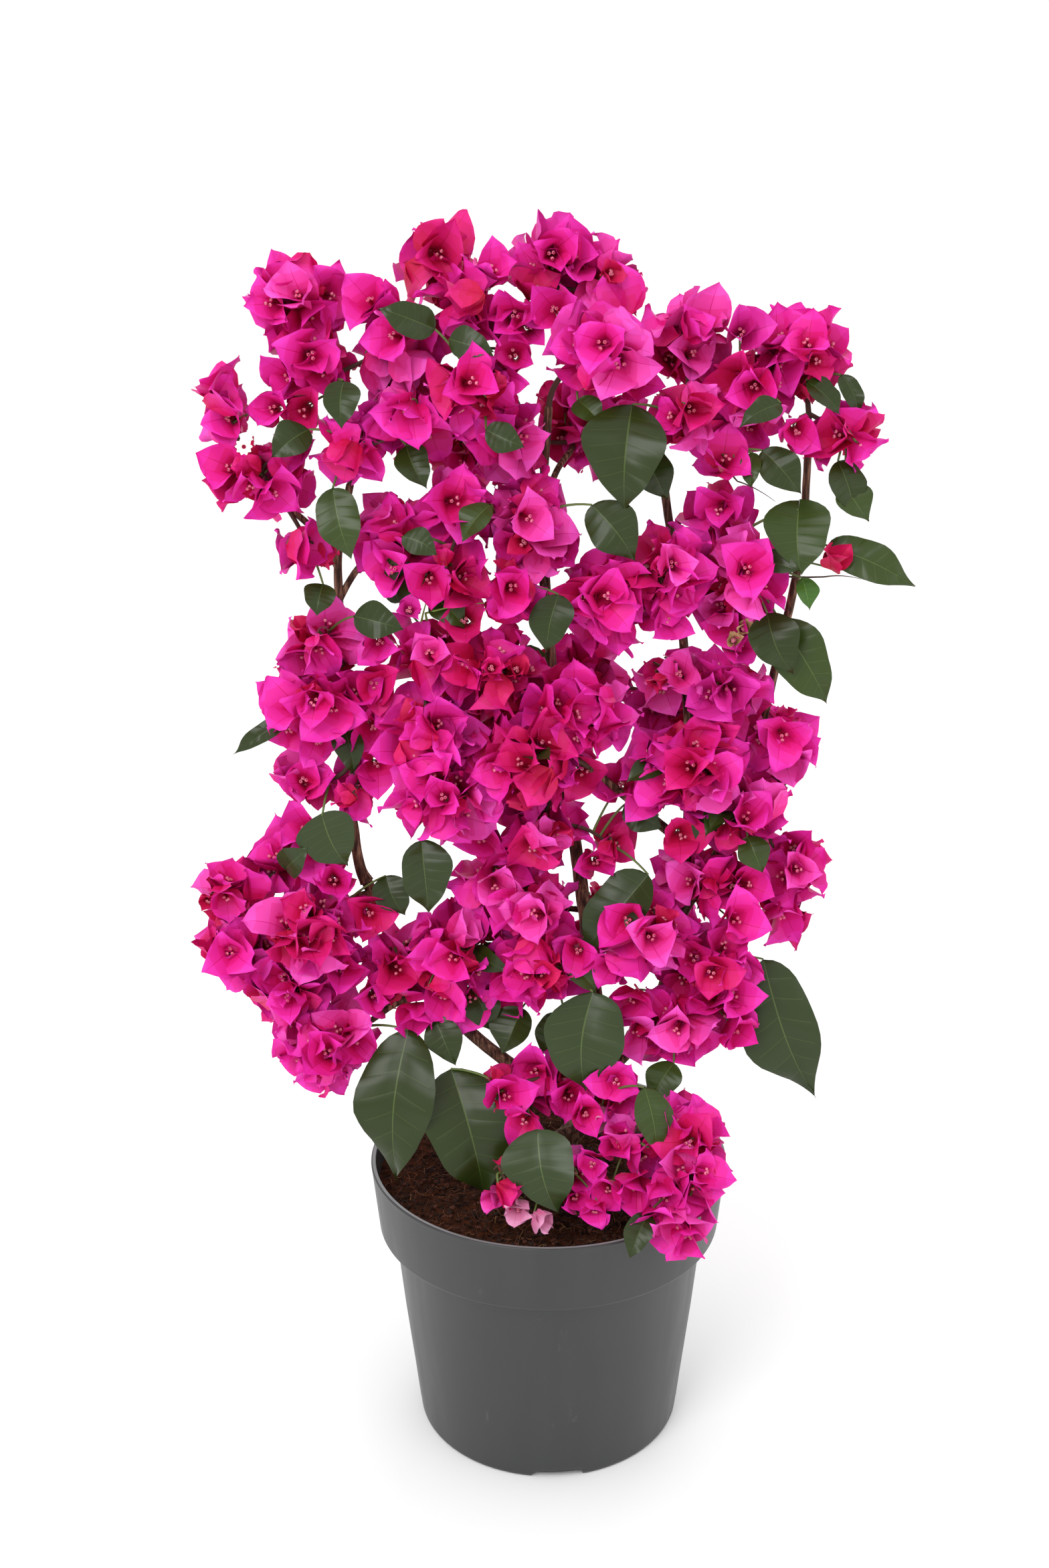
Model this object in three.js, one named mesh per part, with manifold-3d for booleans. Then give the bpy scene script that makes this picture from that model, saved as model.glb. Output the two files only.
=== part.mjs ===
// A bougainvillea in flower, grown as a flat fan about 93 cm tall in a 28 cm nursery container.
// Millimetres, +Z up, +X to the right, the fan's face towards -Y. The origin is the centre of the
// container's flat underside. The trunk carries six main boughs, the main boughs carry side
// boughs, and each bough ends where it enters a mass of blossom and leaves.

import * as THREE from 'three';
import { mergeVertices } from 'three/addons/utils/BufferGeometryUtils.js';
import Module from 'manifold-3d';

const wasm = await Module();
wasm.setup();

// ---------------------------------------------------------------- driving dimensions

const clearance = 0.3; // left between pieces that touch

const pot = {
  rimRadius: 140, height: 225, bandHeight: 57, bandFootRadius: 133.2, shoulderRadius: 121.6,
  footRadius: 105, wall: 2.2, lip: 4.2, footEdge: 2, floor: 6, recess: 4, ringWidth: 9,
  padRadius: 34, facets: 44, notches: 3, notchWidth: 40, notchHeight: 5.5,
  drains: 6, drainRadius: 6, drainCircle: 72,
};

const soil = { belowRim: 18, crown: 2, flatRadius: 62, facets: 22 };

const trunk = {
  foot: [14, 12], forkHeight: 372, footRadius: 13.5, waistRadius: 8.6, tipRadius: 6.4,
  flareShare: 0.22, lean: [[14, 12, 228], [30, 7, 250], [37, 2, 280], [38, 0, 325], [34, 4, 372]],
  stub: { height: 262, radius: 5.6, length: 24, turn: [0.35, -0.8, 0.45] },
};

// Main boughs: what each springs from, how far along that, its course, and its two radii.
const mainBoughs = {
  bough_left_low: {
    from: 'trunk', share: 0.34, foot: 5.4, tip: 4.2,
    course: [[-10, -8, 292], [-45, -12, 320], [-84, -2, 356], [-120, 8, 408], [-138, 12, 448]],
  },
  bough_left_high: {
    from: 'bough_left_low', share: 1, foot: 4.0, tip: 2.8,
    course: [[-148, 16, 500], [-152, 20, 565], [-152, 18, 640], [-150, 12, 705], [-140, 8, 748]],
  },
  bough_middle: {
    from: 'trunk', share: 1, foot: 5.6, tip: 2.8,
    course: [[24, 20, 450], [10, 30, 540], [0, 30, 640], [-4, 26, 730], [0, 24, 800]],
  },
  bough_right: {
    from: 'trunk', share: 0.5, foot: 5.2, tip: 2.8,
    course: [[66, 10, 312], [86, 12, 350], [100, 16, 420], [106, 20, 520], [98, 20, 640], [80, 16, 760]],
  },
  bough_far_right: {
    from: 'bough_right', share: 0.3, foot: 4.2, tip: 2.6,
    course: [[132, 30, 470], [154, 34, 540], [170, 30, 620], [182, 22, 700], [184, 20, 775]],
  },
  bough_across: {
    from: 'bough_right', share: 0.42, foot: 3.8, tip: 2.8,
    course: [[72, 4, 506], [30, -6, 544]],
  },
};

// Masses: the bough each grows from and how far along, and its clumps as
// [x, y, z, half width, half height, half depth].
const masses = {
  top_left: { from: 'bough_left_high', share: 1, clumps: [
    [-160, 5, 835, 27, 30, 40], [-170, 30, 872, 38, 37, 45], [-105, 15, 845, 32, 38, 48]] },
  far_left: { from: 'bough_left_high', share: 0.8, clumps: [
    [-200, 0, 757, 37, 33, 45], [-224, 5, 808, 22, 28, 32], [-172, 5, 708, 24, 19, 26]] },
  top_middle: { from: 'bough_middle', share: 0.9, clumps: [
    [-56, 15, 870, 30, 30, 45], [-75, 45, 900, 31, 28, 40]] },
  top_right: { from: 'bough_middle', share: 1, clumps: [
    [35, -10, 842, 36, 36, 42], [2, 50, 899, 33, 29, 42], [42, 35, 886, 30, 34, 44]] },
  upper_middle: { from: 'bough_middle', share: 0.78, clumps: [
    [-28, 2, 787, 27, 34, 42], [-50, -22, 820, 30, 30, 38], [-95, 0, 797, 29, 29, 44],
    [-135, -15, 781, 25, 26, 34]] },
  high_right: { from: 'bough_right', share: 1, clumps: [
    [95, -8, 800, 30, 30, 40], [100, 35, 850, 32, 32, 46], [140, 15, 812, 35, 34, 46],
    [123, 8, 768, 20, 20, 26]] },
  far_top_right: { from: 'bough_far_right', share: 1, clumps: [
    [175, 22, 840, 37, 34, 46], [209, 10, 786, 28, 28, 32]] },
  middle_left: { from: 'bough_left_high', share: 0.72, clumps: [[-108, 25, 716, 32, 38, 48]] },
  middle: { from: 'bough_middle', share: 0.66, clumps: [
    [-14, -2, 725, 28, 40, 44], [-64, 4, 737, 28, 29, 42], [-70, -10, 696, 26, 24, 36],
    [-25, -16, 681, 24, 28, 38]] },
  right_middle: { from: 'bough_right', share: 0.72, clumps: [
    [85, -15, 696, 34, 36, 44], [40, -5, 672, 31, 37, 44], [138, 5, 688, 36, 42, 48],
    [120, 28, 728, 25, 26, 36]] },
  left_middle: { from: 'bough_left_high', share: 0.38, clumps: [
    [-165, -4, 597, 42, 28, 48], [-163, 8, 638, 31, 28, 44], [-142, -2, 531, 22, 26, 36],
    [-181, 16, 532, 27, 24, 34]] },
  centre_left: { from: 'bough_middle', share: 0.4, clumps: [
    [-74, -22, 532, 46, 34, 50], [-88, -18, 577, 36, 35, 50], [-84, 8, 630, 33, 26, 44]] },
  centre: { from: 'bough_across', share: 1, clumps: [
    [-20, -32, 560, 41, 37, 48], [20, -15, 590, 42, 37, 50], [-40, -5, 621, 40, 35, 50],
    [-5, -5, 497, 37, 31, 44], [45, 0, 482, 19, 23, 28]] },
  right_centre: { from: 'bough_far_right', share: 0.3, clumps: [
    [100, -8, 550, 45, 39, 52], [130, 14, 600, 33, 34, 46], [86, 18, 612, 25, 29, 40],
    [144, 12, 506, 36, 34, 46]] },
  right_edge: { from: 'bough_far_right', share: 0.22, clumps: [
    [188, 34, 456, 28, 33, 40], [178, 28, 420, 23, 23, 32], [172, 30, 514, 24, 28, 38],
    [172, 24, 562, 29, 34, 40]] },
  far_low_left: { from: 'bough_left_low', share: 0.96, clumps: [
    [-176, -14, 421, 41, 36, 48], [-194, 34, 460, 35, 27, 42], [-240, 16, 440, 38, 31, 42],
    [-238, 4, 401, 38, 27, 38]] },
  low_left: { from: 'bough_left_low', share: 0.62, clumps: [
    [-165, -20, 332, 33, 35, 44], [-194, -10, 371, 32, 29, 40]] },
  low_centre_left: { from: 'bough_left_low', share: 0.78, clumps: [
    [-70, -14, 405, 41, 42, 50], [-114, 4, 386, 27, 40, 42]] },
  low_centre: { from: 'trunk', share: 0.86, clumps: [
    [-5, -36, 402, 42, 32, 42], [-10, -18, 441, 35, 31, 42], [-40, 0, 456, 32, 26, 40]] },
  low_right: { from: 'bough_right', share: 0.22, clumps: [
    [95, -24, 352, 38, 31, 42], [120, -10, 391, 37, 36, 46], [76, -14, 421, 37, 32, 42],
    [120, 18, 449, 37, 28, 42]] },
  bottom: { from: 'trunk', share: 0.42, clumps: [
    [14, -32, 308, 31, 25, 30], [-32, -45, 304, 31, 29, 30], [46, -54, 304, 29, 26, 30]] },
  over_soil: { from: 'trunk', share: 0.22, clumps: [[-34, -90, 256, 30, 24, 26], [14, -84, 258, 22, 24, 22]] },
  over_rim: { from: 'trunk', share: 0.26, clumps: [
    [66, -82, 280, 24, 26, 28], [102, -76, 284, 38, 32, 36], [108, -102, 262, 32, 30, 30]] },
  back_high: { from: 'bough_middle', share: 0.84, clumps: [[28, 88, 786, 40, 38, 34], [-52, 84, 776, 38, 36, 34]] },
  back_middle: { from: 'bough_middle', share: 0.5, clumps: [
    [-52, 90, 566, 46, 40, 36], [22, 92, 590, 44, 38, 36], [104, 90, 572, 42, 38, 34]] },
  back_low: { from: 'bough_middle', share: 0.12, clumps: [[26, 74, 400, 44, 38, 34], [88, 78, 392, 38, 36, 34], [-42, 74, 414, 40, 36, 34]] },
};

// Large single leaves that stand out of the masses: [mass, base, tip, width].
const largeLeaves = [
  ['low_right', [150, -6, 388], [196, -18, 292], 56],
  ['low_left', [-112, -34, 345], [-114, -60, 240], 56],
  ['bottom', [-76, -40, 316], [-50, -66, 240], 52],
  ['over_soil', [-2, -92, 286], [4, -112, 238], 44],
  ['bottom', [36, -56, 362], [34, -72, 300], 52],
  ['over_rim', [78, -66, 300], [86, -80, 262], 30],
  ['right_middle', [32, -10, 780], [24, -40, 722], 46],
  ['right_middle', [44, -40, 738], [64, -44, 706], 36],
  ['right_middle', [174, 0, 752], [166, -22, 708], 40],
  ['right_middle', [176, 2, 714], [232, -2, 702], 30],
  ['far_top_right', [206, 8, 764], [222, 0, 730], 28],
  ['right_centre', [172, 4, 660], [184, -8, 616], 36],
  ['right_centre', [148, -6, 664], [158, -22, 630], 32],
  ['middle_left', [-150, -10, 752], [-138, -26, 706], 32],
  ['left_middle', [-138, -12, 662], [-102, -18, 652], 24],
  ['left_middle', [-190, 6, 582], [-222, 0, 560], 12],
  ['far_low_left', [-166, -18, 512], [-154, -30, 480], 44],
  ['centre_left', [-92, -12, 494], [-86, -24, 446], 32],
];

const flower = {
  radius: 44, cup: 14, lift: 5, notch: 0.82, dip: 6, stalk: 2, shortestStalk: 4, spacing: 46,
  inset: 12, tries: 60, ofClump: 1.3, sizes: [1, 0.85, 0.7], ends: [-1, 1, -0.6, 0.6, -0.3],
};
const leaf = {
  width: 0.52, thickness: 0.034, widest: 0.46, sunk: 2, stalkShare: 0.12,
  perClump: 1, tries: 20, spacing: 24, proud: 8, shortest: 60, roomsAt: [0.1, 0.5, 0.9],
  roomShare: 0.4,
};
const twig = { foot: 2.6, tip: 1.9, sunk: 2, room: 14, asides: [0, -12, 12, -24, 24] };
const backSlope = 0.22; // how far a clump's twigs fall for each step backwards
const floorSpace = { soil: 4, rim: 2, rimFrom: 112 }; // blossom keeps this far above soil and rim
const cellGap = 0.5; // from each mass to the wall of its own space
const frontFacing = new THREE.Vector3(0, -1, 0.35);

const finishes = {
  pot: { color: 0x4d4e4f, roughness: 0.55 },
  soil: { color: 0x3a1f14, roughness: 1 },
  bark: { color: 0x5b4334, roughness: 0.85 },
  foliage: { color: 0xd81f8c, roughness: 0.6 },
};

// ---------------------------------------------------------------- solids and meshes

const vector = (point) => new THREE.Vector3(...point);

// A solid from a closed three.js geometry, its doubled vertices merged and its faces turned out.
function solidOf(geometry) {
  const bare = geometry.clone();
  for (const name of Object.keys(bare.attributes)) {
    if (name !== 'position') bare.deleteAttribute(name);
  }
  const merged = mergeVertices(bare, 1e-4);
  const places = merged.attributes.position.array;
  const corners = [];
  let sixVolumes = 0;
  const [a, b, c] = [new THREE.Vector3(), new THREE.Vector3(), new THREE.Vector3()];
  for (let i = 0; i < merged.index.count; i += 3) {
    const face = [0, 1, 2].map((k) => merged.index.getX(i + k));
    if (new Set(face).size < 3) continue;
    corners.push(...face);
    [a, b, c].forEach((corner, k) => corner.fromArray(places, face[k] * 3));
    sixVolumes += a.dot(b.cross(c));
  }
  if (sixVolumes < 0) corners.reverse();
  return new wasm.Manifold(new wasm.Mesh({
    numProp: 3, vertProperties: new Float32Array(places), triVerts: new Uint32Array(corners),
  }));
}

// The largest body of a solid, without loose scraps.
function largestBody(solid) {
  return solid.decompose().reduce((kept, body) => (body.volume() > kept.volume() ? body : kept));
}

function meshOf(name, solid, finish) {
  const { vertProperties, triVerts } = solid.getMesh();
  const geometry = new THREE.BufferGeometry();
  geometry.setAttribute('position', new THREE.BufferAttribute(new Float32Array(vertProperties), 3));
  geometry.setIndex(new THREE.BufferAttribute(new Uint32Array(triVerts), 1));
  geometry.computeVertexNormals();
  const mesh = new THREE.Mesh(geometry, new THREE.MeshStandardMaterial({ ...finish, metalness: 0 }));
  mesh.name = name;
  return mesh;
}

function geometryOf(points, faces) {
  const geometry = new THREE.BufferGeometry();
  const places = points.flatMap((point) => [point.x, point.y, point.z]);
  geometry.setAttribute('position', new THREE.Float32BufferAttribute(places, 3));
  geometry.setIndex(faces.flat());
  return geometry;
}

// A closed tube along a curve, its radius given by its share of the way along.
function taperedTube(curve, radiusAt, sides, steps) {
  const frames = curve.computeFrenetFrames(steps);
  const points = [];
  const faces = [];
  for (let step = 0; step <= steps; step++) {
    const centre = curve.getPointAt(step / steps);
    for (let side = 0; side < sides; side++) {
      const angle = (2 * Math.PI * side) / sides;
      points.push(centre.clone()
        .addScaledVector(frames.normals[step], radiusAt(step / steps) * Math.cos(angle))
        .addScaledVector(frames.binormals[step], radiusAt(step / steps) * Math.sin(angle)));
      if (step === steps) continue;
      const here = step * sides + side;
      const beside = step * sides + ((side + 1) % sides);
      faces.push([here, beside, here + sides], [beside, beside + sides, here + sides]);
    }
  }
  for (let side = 1; side < sides - 1; side++) {
    faces.push([0, side + 1, side]);
    faces.push([0, side, side + 1].map((corner) => corner + steps * sides));
  }
  return geometryOf(points, faces);
}

// ---------------------------------------------------------------- container and soil

// Half sections as [radius, height] pairs, turned round the Z axis.
function turned(profile, facets) {
  const points = profile.map(([radius, height]) => new THREE.Vector2(radius, height));
  return solidOf(new THREE.LatheGeometry(points, facets).rotateX(Math.PI / 2));
}

const bandFoot = pot.height - pot.bandHeight;
const innerShoulder = pot.shoulderRadius - pot.wall;
const innerBandFoot = pot.bandFootRadius - pot.wall;
const innerRim = pot.rimRadius - pot.lip;
const innerFoot = pot.footRadius - pot.wall;

function makePot() {
  const ringInner = pot.footRadius - pot.footEdge - pot.ringWidth;
  let body = turned([
    [0, 0], [pot.padRadius, 0], [pot.padRadius + 2, pot.recess], [ringInner - 2, pot.recess],
    [ringInner, 0], [pot.footRadius - pot.footEdge, 0], [pot.footRadius, pot.footEdge],
    [pot.shoulderRadius, bandFoot], [pot.bandFootRadius - 0.8, bandFoot],
    [pot.bandFootRadius, bandFoot + 1.2], [pot.rimRadius - 0.6, pot.height - 4],
    [pot.rimRadius, pot.height - 2.4], [pot.rimRadius - 0.9, pot.height - 0.3],
    [pot.rimRadius - 2, pot.height], [innerRim + 0.6, pot.height - 0.2], [innerRim, pot.height - 2],
    [innerBandFoot, bandFoot + pot.wall + 1], [innerShoulder, bandFoot + pot.wall],
    [innerFoot, pot.floor], [0, pot.floor],
  ], pot.facets);
  const half = pot.notchWidth / 2;
  const outline = new THREE.Shape([
    [-half, -1], [half, -1], [half - 1, pot.notchHeight - 2.5], [half - 3.5, pot.notchHeight],
    [3.5 - half, pot.notchHeight], [1 - half, pot.notchHeight - 2.5],
  ].map(([across, up]) => new THREE.Vector2(across, up)));
  const notch = new THREE.ExtrudeGeometry(outline, { depth: 3 * pot.ringWidth, bevelEnabled: false });
  notch.rotateX(Math.PI / 2).translate(0, -pot.footRadius + 2 * pot.ringWidth, 0);
  for (let i = 0; i < pot.notches; i++) {
    const turn = (2 * Math.PI * i) / pot.notches;
    body = body.subtract(solidOf(notch.clone().rotateZ(turn)));
  }
  for (let i = 0; i < pot.drains; i++) {
    const turn = (2 * Math.PI * (i + 0.5)) / pot.drains;
    const drain = new THREE.CylinderGeometry(pot.drainRadius, pot.drainRadius, 3 * pot.floor, 8);
    drain.rotateX(Math.PI / 2).translate(pot.drainCircle, 0, pot.floor).rotateZ(turn);
    body = body.subtract(solidOf(drain));
  }
  return body;
}

const soilTop = pot.height - soil.belowRim;

function makeSoil() {
  const slopeShare = (soilTop - bandFoot) / pot.bandHeight;
  const edgeRadius = innerBandFoot + (innerRim - innerBandFoot) * slopeShare - 2 * clearance;
  return turned([
    [0, pot.floor + clearance], [innerFoot - 2 * clearance, pot.floor + clearance],
    [innerShoulder - 2 * clearance, bandFoot + pot.wall + 2 * clearance],
    [innerBandFoot - 3 * clearance, bandFoot + pot.wall + 1 + 3 * clearance],
    [edgeRadius, soilTop - 3], [edgeRadius - 12, soilTop], [soil.flatRadius, soilTop + soil.crown],
    [0, soilTop + soil.crown],
  ], soil.facets);
}

// ---------------------------------------------------------------- trunk and boughs

const limbs = {}; // name: { curve, radiusAt, sides, steps, solid, keepOut }

function addLimb(name, curve, radiusAt, sides) {
  const steps = Math.max(2, Math.round(curve.getLength() / 36));
  const solid = solidOf(taperedTube(curve, radiusAt, sides, steps));
  const wider = (share) => radiusAt(share) + 1.6 * clearance;
  const keepOut = solidOf(taperedTube(curve, wider, sides, steps));
  limbs[name] = { curve, radiusAt, sides, solid, keepOut };
  return limbs[name];
}

function makeTrunk() {
  const foot = vector([...trunk.foot, soilTop + soil.crown + clearance]);
  const curve = new THREE.CatmullRomCurve3([foot, ...trunk.lean.map(vector)], false, 'centripetal');
  const radiusAt = (share) => {
    const flare = Math.max(0, 1 - share / trunk.flareShare) ** 2;
    const taper = trunk.waistRadius + (trunk.tipRadius - trunk.waistRadius) * share;
    return taper + (trunk.footRadius - trunk.waistRadius) * flare;
  };
  const made = addLimb('trunk', curve, radiusAt, 9);
  // the foot is cut level with the soil
  const under = new THREE.BoxGeometry(90, 90, 30).translate(foot.x, foot.y, foot.z - 15);
  made.solid = made.solid.subtract(solidOf(under));
  // an old cut stub on the front of the trunk
  const share = (trunk.stub.height - foot.z) / (trunk.forkHeight - foot.z);
  const from = curve.getPointAt(share);
  const to = from.clone().addScaledVector(vector(trunk.stub.turn).normalize(), trunk.stub.length);
  const stubRadius = () => trunk.stub.radius;
  const stub = solidOf(taperedTube(new THREE.LineCurve3(from, to), stubRadius, 7, 1));
  made.solid = made.solid.add(stub);
  made.keepOut = made.keepOut.add(stub);
}

// A bough that follows its course from a point on its parent, cut 0.3 mm clear of the parent.
function makeBough(name, parentName, share, course, footRadius, tipRadius, sides) {
  const parent = limbs[parentName];
  const start = parent.curve.getPointAt(share);
  const onEnd = share === 1;
  if (onEnd) start.addScaledVector(parent.curve.getTangentAt(1), clearance);
  const points = [start, ...course.map(vector)];
  if (onEnd) {
    const lead = start.clone().addScaledVector(parent.curve.getTangentAt(1), 10);
    points.splice(1, 0, lead);
  }
  const curve = new THREE.CatmullRomCurve3(points, false, 'centripetal');
  const radiusAt = (along) => footRadius + (tipRadius - footRadius) * along;
  const made = addLimb(name, curve, radiusAt, sides);
  made.solid = largestBody(made.solid.subtract(parent.keepOut));
  return made;
}

// ---------------------------------------------------------------- masses

// A seeded row of numbers from 0 to 1, the same on every run.
function seeded(seed) {
  let state = seed >>> 0;
  return () => {
    state = (state + 0x6d2b79f5) >>> 0;
    let t = Math.imul(state ^ (state >>> 15), 1 | state);
    t = (t + Math.imul(t ^ (t >>> 7), 61 | t)) ^ t;
    return ((t ^ (t >>> 14)) >>> 0) / 4294967296;
  };
}

const allClumps = Object.entries(masses).flatMap(([mass, { clumps }]) => clumps.map(
  ([x, y, z, wide, high, deep]) => ({
    mass, centre: new THREE.Vector3(x, y, z), wide, high, deep, weight: ((wide + high) / 2) ** 2,
  }),
));

// Each mass's space is where its clumps, the twigs between them or its large leaves lie nearest
// for their size.
const twigRooms = allClumps.flatMap((clump, i) => {
  const before = allClumps.slice(0, i).filter(({ mass }) => mass === clump.mass);
  if (before.length === 0) return [];
  const nearest = before.reduce((best, other) => (
    other.centre.distanceTo(clump.centre) < best.centre.distanceTo(clump.centre) ? other : best));
  const centre = clump.centre.clone().lerp(nearest.centre, 0.5);
  return [{ mass: clump.mass, centre, weight: twig.room ** 2 }];
});
const leafRooms = largeLeaves.flatMap(([mass, base, tip]) => leaf.roomsAt.map((share) => ({
  mass,
  centre: vector(base).lerp(vector(tip), share),
  weight: (leaf.roomShare * vector(base).distanceTo(vector(tip))) ** 2,
})));
const rooms = [...allClumps, ...twigRooms, ...leafRooms];

const power = (point, clump) => point.distanceToSquared(clump.centre) - clump.weight;

// True where a point lies in the mass's own space, above the soil and clear of the rim.
function inSpace(point, mass) {
  const outward = Math.hypot(point.x, point.y);
  const lowest = outward > floorSpace.rimFrom
    ? pot.height + floorSpace.rim : soilTop + soil.crown + floorSpace.soil;
  if (point.z < lowest) return false;
  const own = rooms.filter((room) => room.mass === mass)
    .reduce((best, room) => (power(point, room) < power(point, best) ? room : best));
  return rooms.every((other) => other.mass === mass
    || power(point, other) - power(point, own)
      > 2 * cellGap * other.centre.distanceTo(own.centre));
}

const finishedMasses = [];

// True where a solid touches neither a limb nor a mass that is already made.
function isClear(solid) {
  const box = solid.boundingBox();
  return [...Object.values(limbs).map(({ keepOut }) => keepOut), ...finishedMasses].every((kept) => {
    const other = kept.boundingBox();
    const apart = [0, 1, 2].some((k) => box.min[k] > other.max[k] || other.min[k] > box.max[k]);
    return apart || solid.intersect(kept).isEmpty();
  });
}

// A seeded place on a clump's shell, or between its shell and its middle.
function placeIn(clump, inset, random) {
  const height = 2 * random() - 1;
  const angle = 2 * Math.PI * random();
  const ring = Math.sqrt(1 - height * height);
  const share = 0.62 + 0.38 * Math.sqrt(random());
  const place = new THREE.Vector3(
    ring * Math.cos(angle) * (clump.wide - inset),
    ring * Math.sin(angle) * (clump.deep - inset),
    height * (clump.high - inset),
  ).multiplyScalar(share);
  place.z -= backSlope * place.y;
  return place.add(clump.centre);
}

// A place in front of a clump's middle or behind it, from -1 to 1.
function endOf(clump, share) {
  const reach = share * (clump.deep - flower.inset);
  return clump.centre.clone().add(new THREE.Vector3(0, reach, -backSlope * reach));
}

function prism(from, to, footRadius, tipRadius) {
  const radiusAt = (share) => footRadius + (tipRadius - footRadius) * share;
  return taperedTube(new THREE.LineCurve3(from, to), radiusAt, 3, 1);
}

function nearestOn(segments, point) {
  const best = { distance: Infinity };
  for (const segment of segments) {
    const nearest = segment.closestPointToPoint(point, true, new THREE.Vector3());
    const distance = nearest.distanceTo(point);
    if (distance < best.distance) Object.assign(best, { distance, nearest });
  }
  return best.nearest;
}

// Three bracts as one shallow cup on a stalk: three raised tips, three notches, a sunk middle.
function flowerGeometry(base, middle, size, turn) {
  const axis = middle.clone().sub(base).normalize();
  const side = new THREE.Vector3(-axis.z, 0.2, axis.x).cross(axis).normalize();
  const up = axis.clone().cross(side);
  const around = (angle, radius, lift) => middle.clone()
    .addScaledVector(side, radius * Math.cos(angle))
    .addScaledVector(up, radius * Math.sin(angle)).addScaledVector(axis, lift);
  const points = [];
  for (let i = 0; i < 6; i++) {
    const tip = i % 2 === 0;
    const radius = size * (tip ? 1 : flower.notch);
    points.push(around(turn + (i * Math.PI) / 3, radius, tip ? flower.lift : 0));
  }
  for (let i = 0; i < 3; i++) {
    points.push(around(turn + (i * 2 * Math.PI) / 3, flower.stalk, -flower.cup));
  }
  points.push(around(0, 0, -flower.dip), base.clone().addScaledVector(axis, -twig.sunk));
  const faces = [];
  for (let i = 0; i < 6; i++) faces.push([9, i, (i + 1) % 6]);
  for (let i = 0; i < 3; i++) {
    const [tip, notch, next] = [2 * i, 2 * i + 1, (2 * i + 2) % 6];
    const [here, after] = [6 + i, 6 + ((i + 1) % 3)];
    faces.push([tip, here, notch], [notch, here, after], [notch, after, next], [here, 10, after]);
  }
  return geometryOf(points, faces);
}

// A leaf blade of eight faces, its root sunk in the twig.
function leafGeometry(base, tip, width, facing) {
  const along = tip.clone().sub(base);
  const length = along.length();
  along.normalize();
  const across = facing.clone().cross(along).normalize();
  const face = along.clone().cross(across);
  const middle = base.clone().addScaledVector(along, leaf.widest * length);
  const thick = leaf.thickness * length / 2;
  const points = [
    base.clone().addScaledVector(along, -leaf.sunk), tip.clone(),
    middle.clone().addScaledVector(across, width / 2),
    middle.clone().addScaledVector(across, -width / 2),
    middle.clone().addScaledVector(face, thick), middle.clone().addScaledVector(face, -thick),
  ];
  return geometryOf(points, [
    [0, 2, 4], [4, 2, 1], [1, 3, 4], [4, 3, 0], [2, 0, 5], [1, 2, 5], [3, 1, 5], [0, 3, 5],
  ]);
}

// Adds a blade, flower or twig to a mass unless it would leave the space or touch a limb.
function fuse(state, geometry) {
  const places = geometry.attributes.position;
  const points = Array.from({ length: places.count }, (_, i) => (
    new THREE.Vector3().fromBufferAttribute(places, i)));
  const between = points.flatMap((point, i) => [0.25, 0.5, 0.75].map((share) => (
    point.clone().lerp(points[(i + 3) % points.length], share))));
  if (![...points, ...between].every((point) => inSpace(point, state.mass))) return false;
  const solid = solidOf(geometry);
  if (!isClear(solid)) return false;
  state.solid = state.solid.add(solid);
  return true;
}

// Flowers fill a clump one by one: its front and back, then where a seeded try finds room.
function addFlowers(state, clump, twigs, random) {
  for (let i = 0; i < flower.tries; i++) {
    const place = i < flower.ends.length
      ? endOf(clump, flower.ends[i]) : placeIn(clump, flower.inset, random);
    const base = nearestOn(twigs, place);
    const out = place.clone().sub(base);
    const length = Math.max(out.length(), flower.cup + flower.shortestStalk);
    const middle = base.clone().addScaledVector(out.normalize(), length);
    if (state.flowers.some((other) => other.distanceTo(middle) < flower.spacing)) continue;
    const turn = 2 * Math.PI * random();
    const full = Math.min(flower.radius, flower.ofClump * Math.min(clump.wide, clump.high));
    const fits = flower.sizes.some((share) => (
      fuse(state, flowerGeometry(base, middle, share * full, turn))));
    if (fits) state.flowers.push(middle);
  }
}

function addLeaves(state, clump, twigs, random) {
  let wanted = leaf.perClump;
  for (let i = 0; i < leaf.tries && wanted > 0; i++) {
    const place = placeIn(clump, 0, random);
    if (state.flowers.some((other) => other.distanceTo(place) < leaf.spacing)) continue;
    const base = nearestOn(twigs, place);
    const length = Math.max(place.distanceTo(base) + leaf.proud, leaf.shortest);
    const tip = base.clone().addScaledVector(place.sub(base).normalize(), length);
    const facing = new THREE.Vector3(random() - 0.5, place.y > 0 ? 0.7 : -0.7, 0.6);
    if (fuse(state, leafGeometry(base, tip, leaf.width * length, facing))) wanted--;
  }
}

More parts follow.
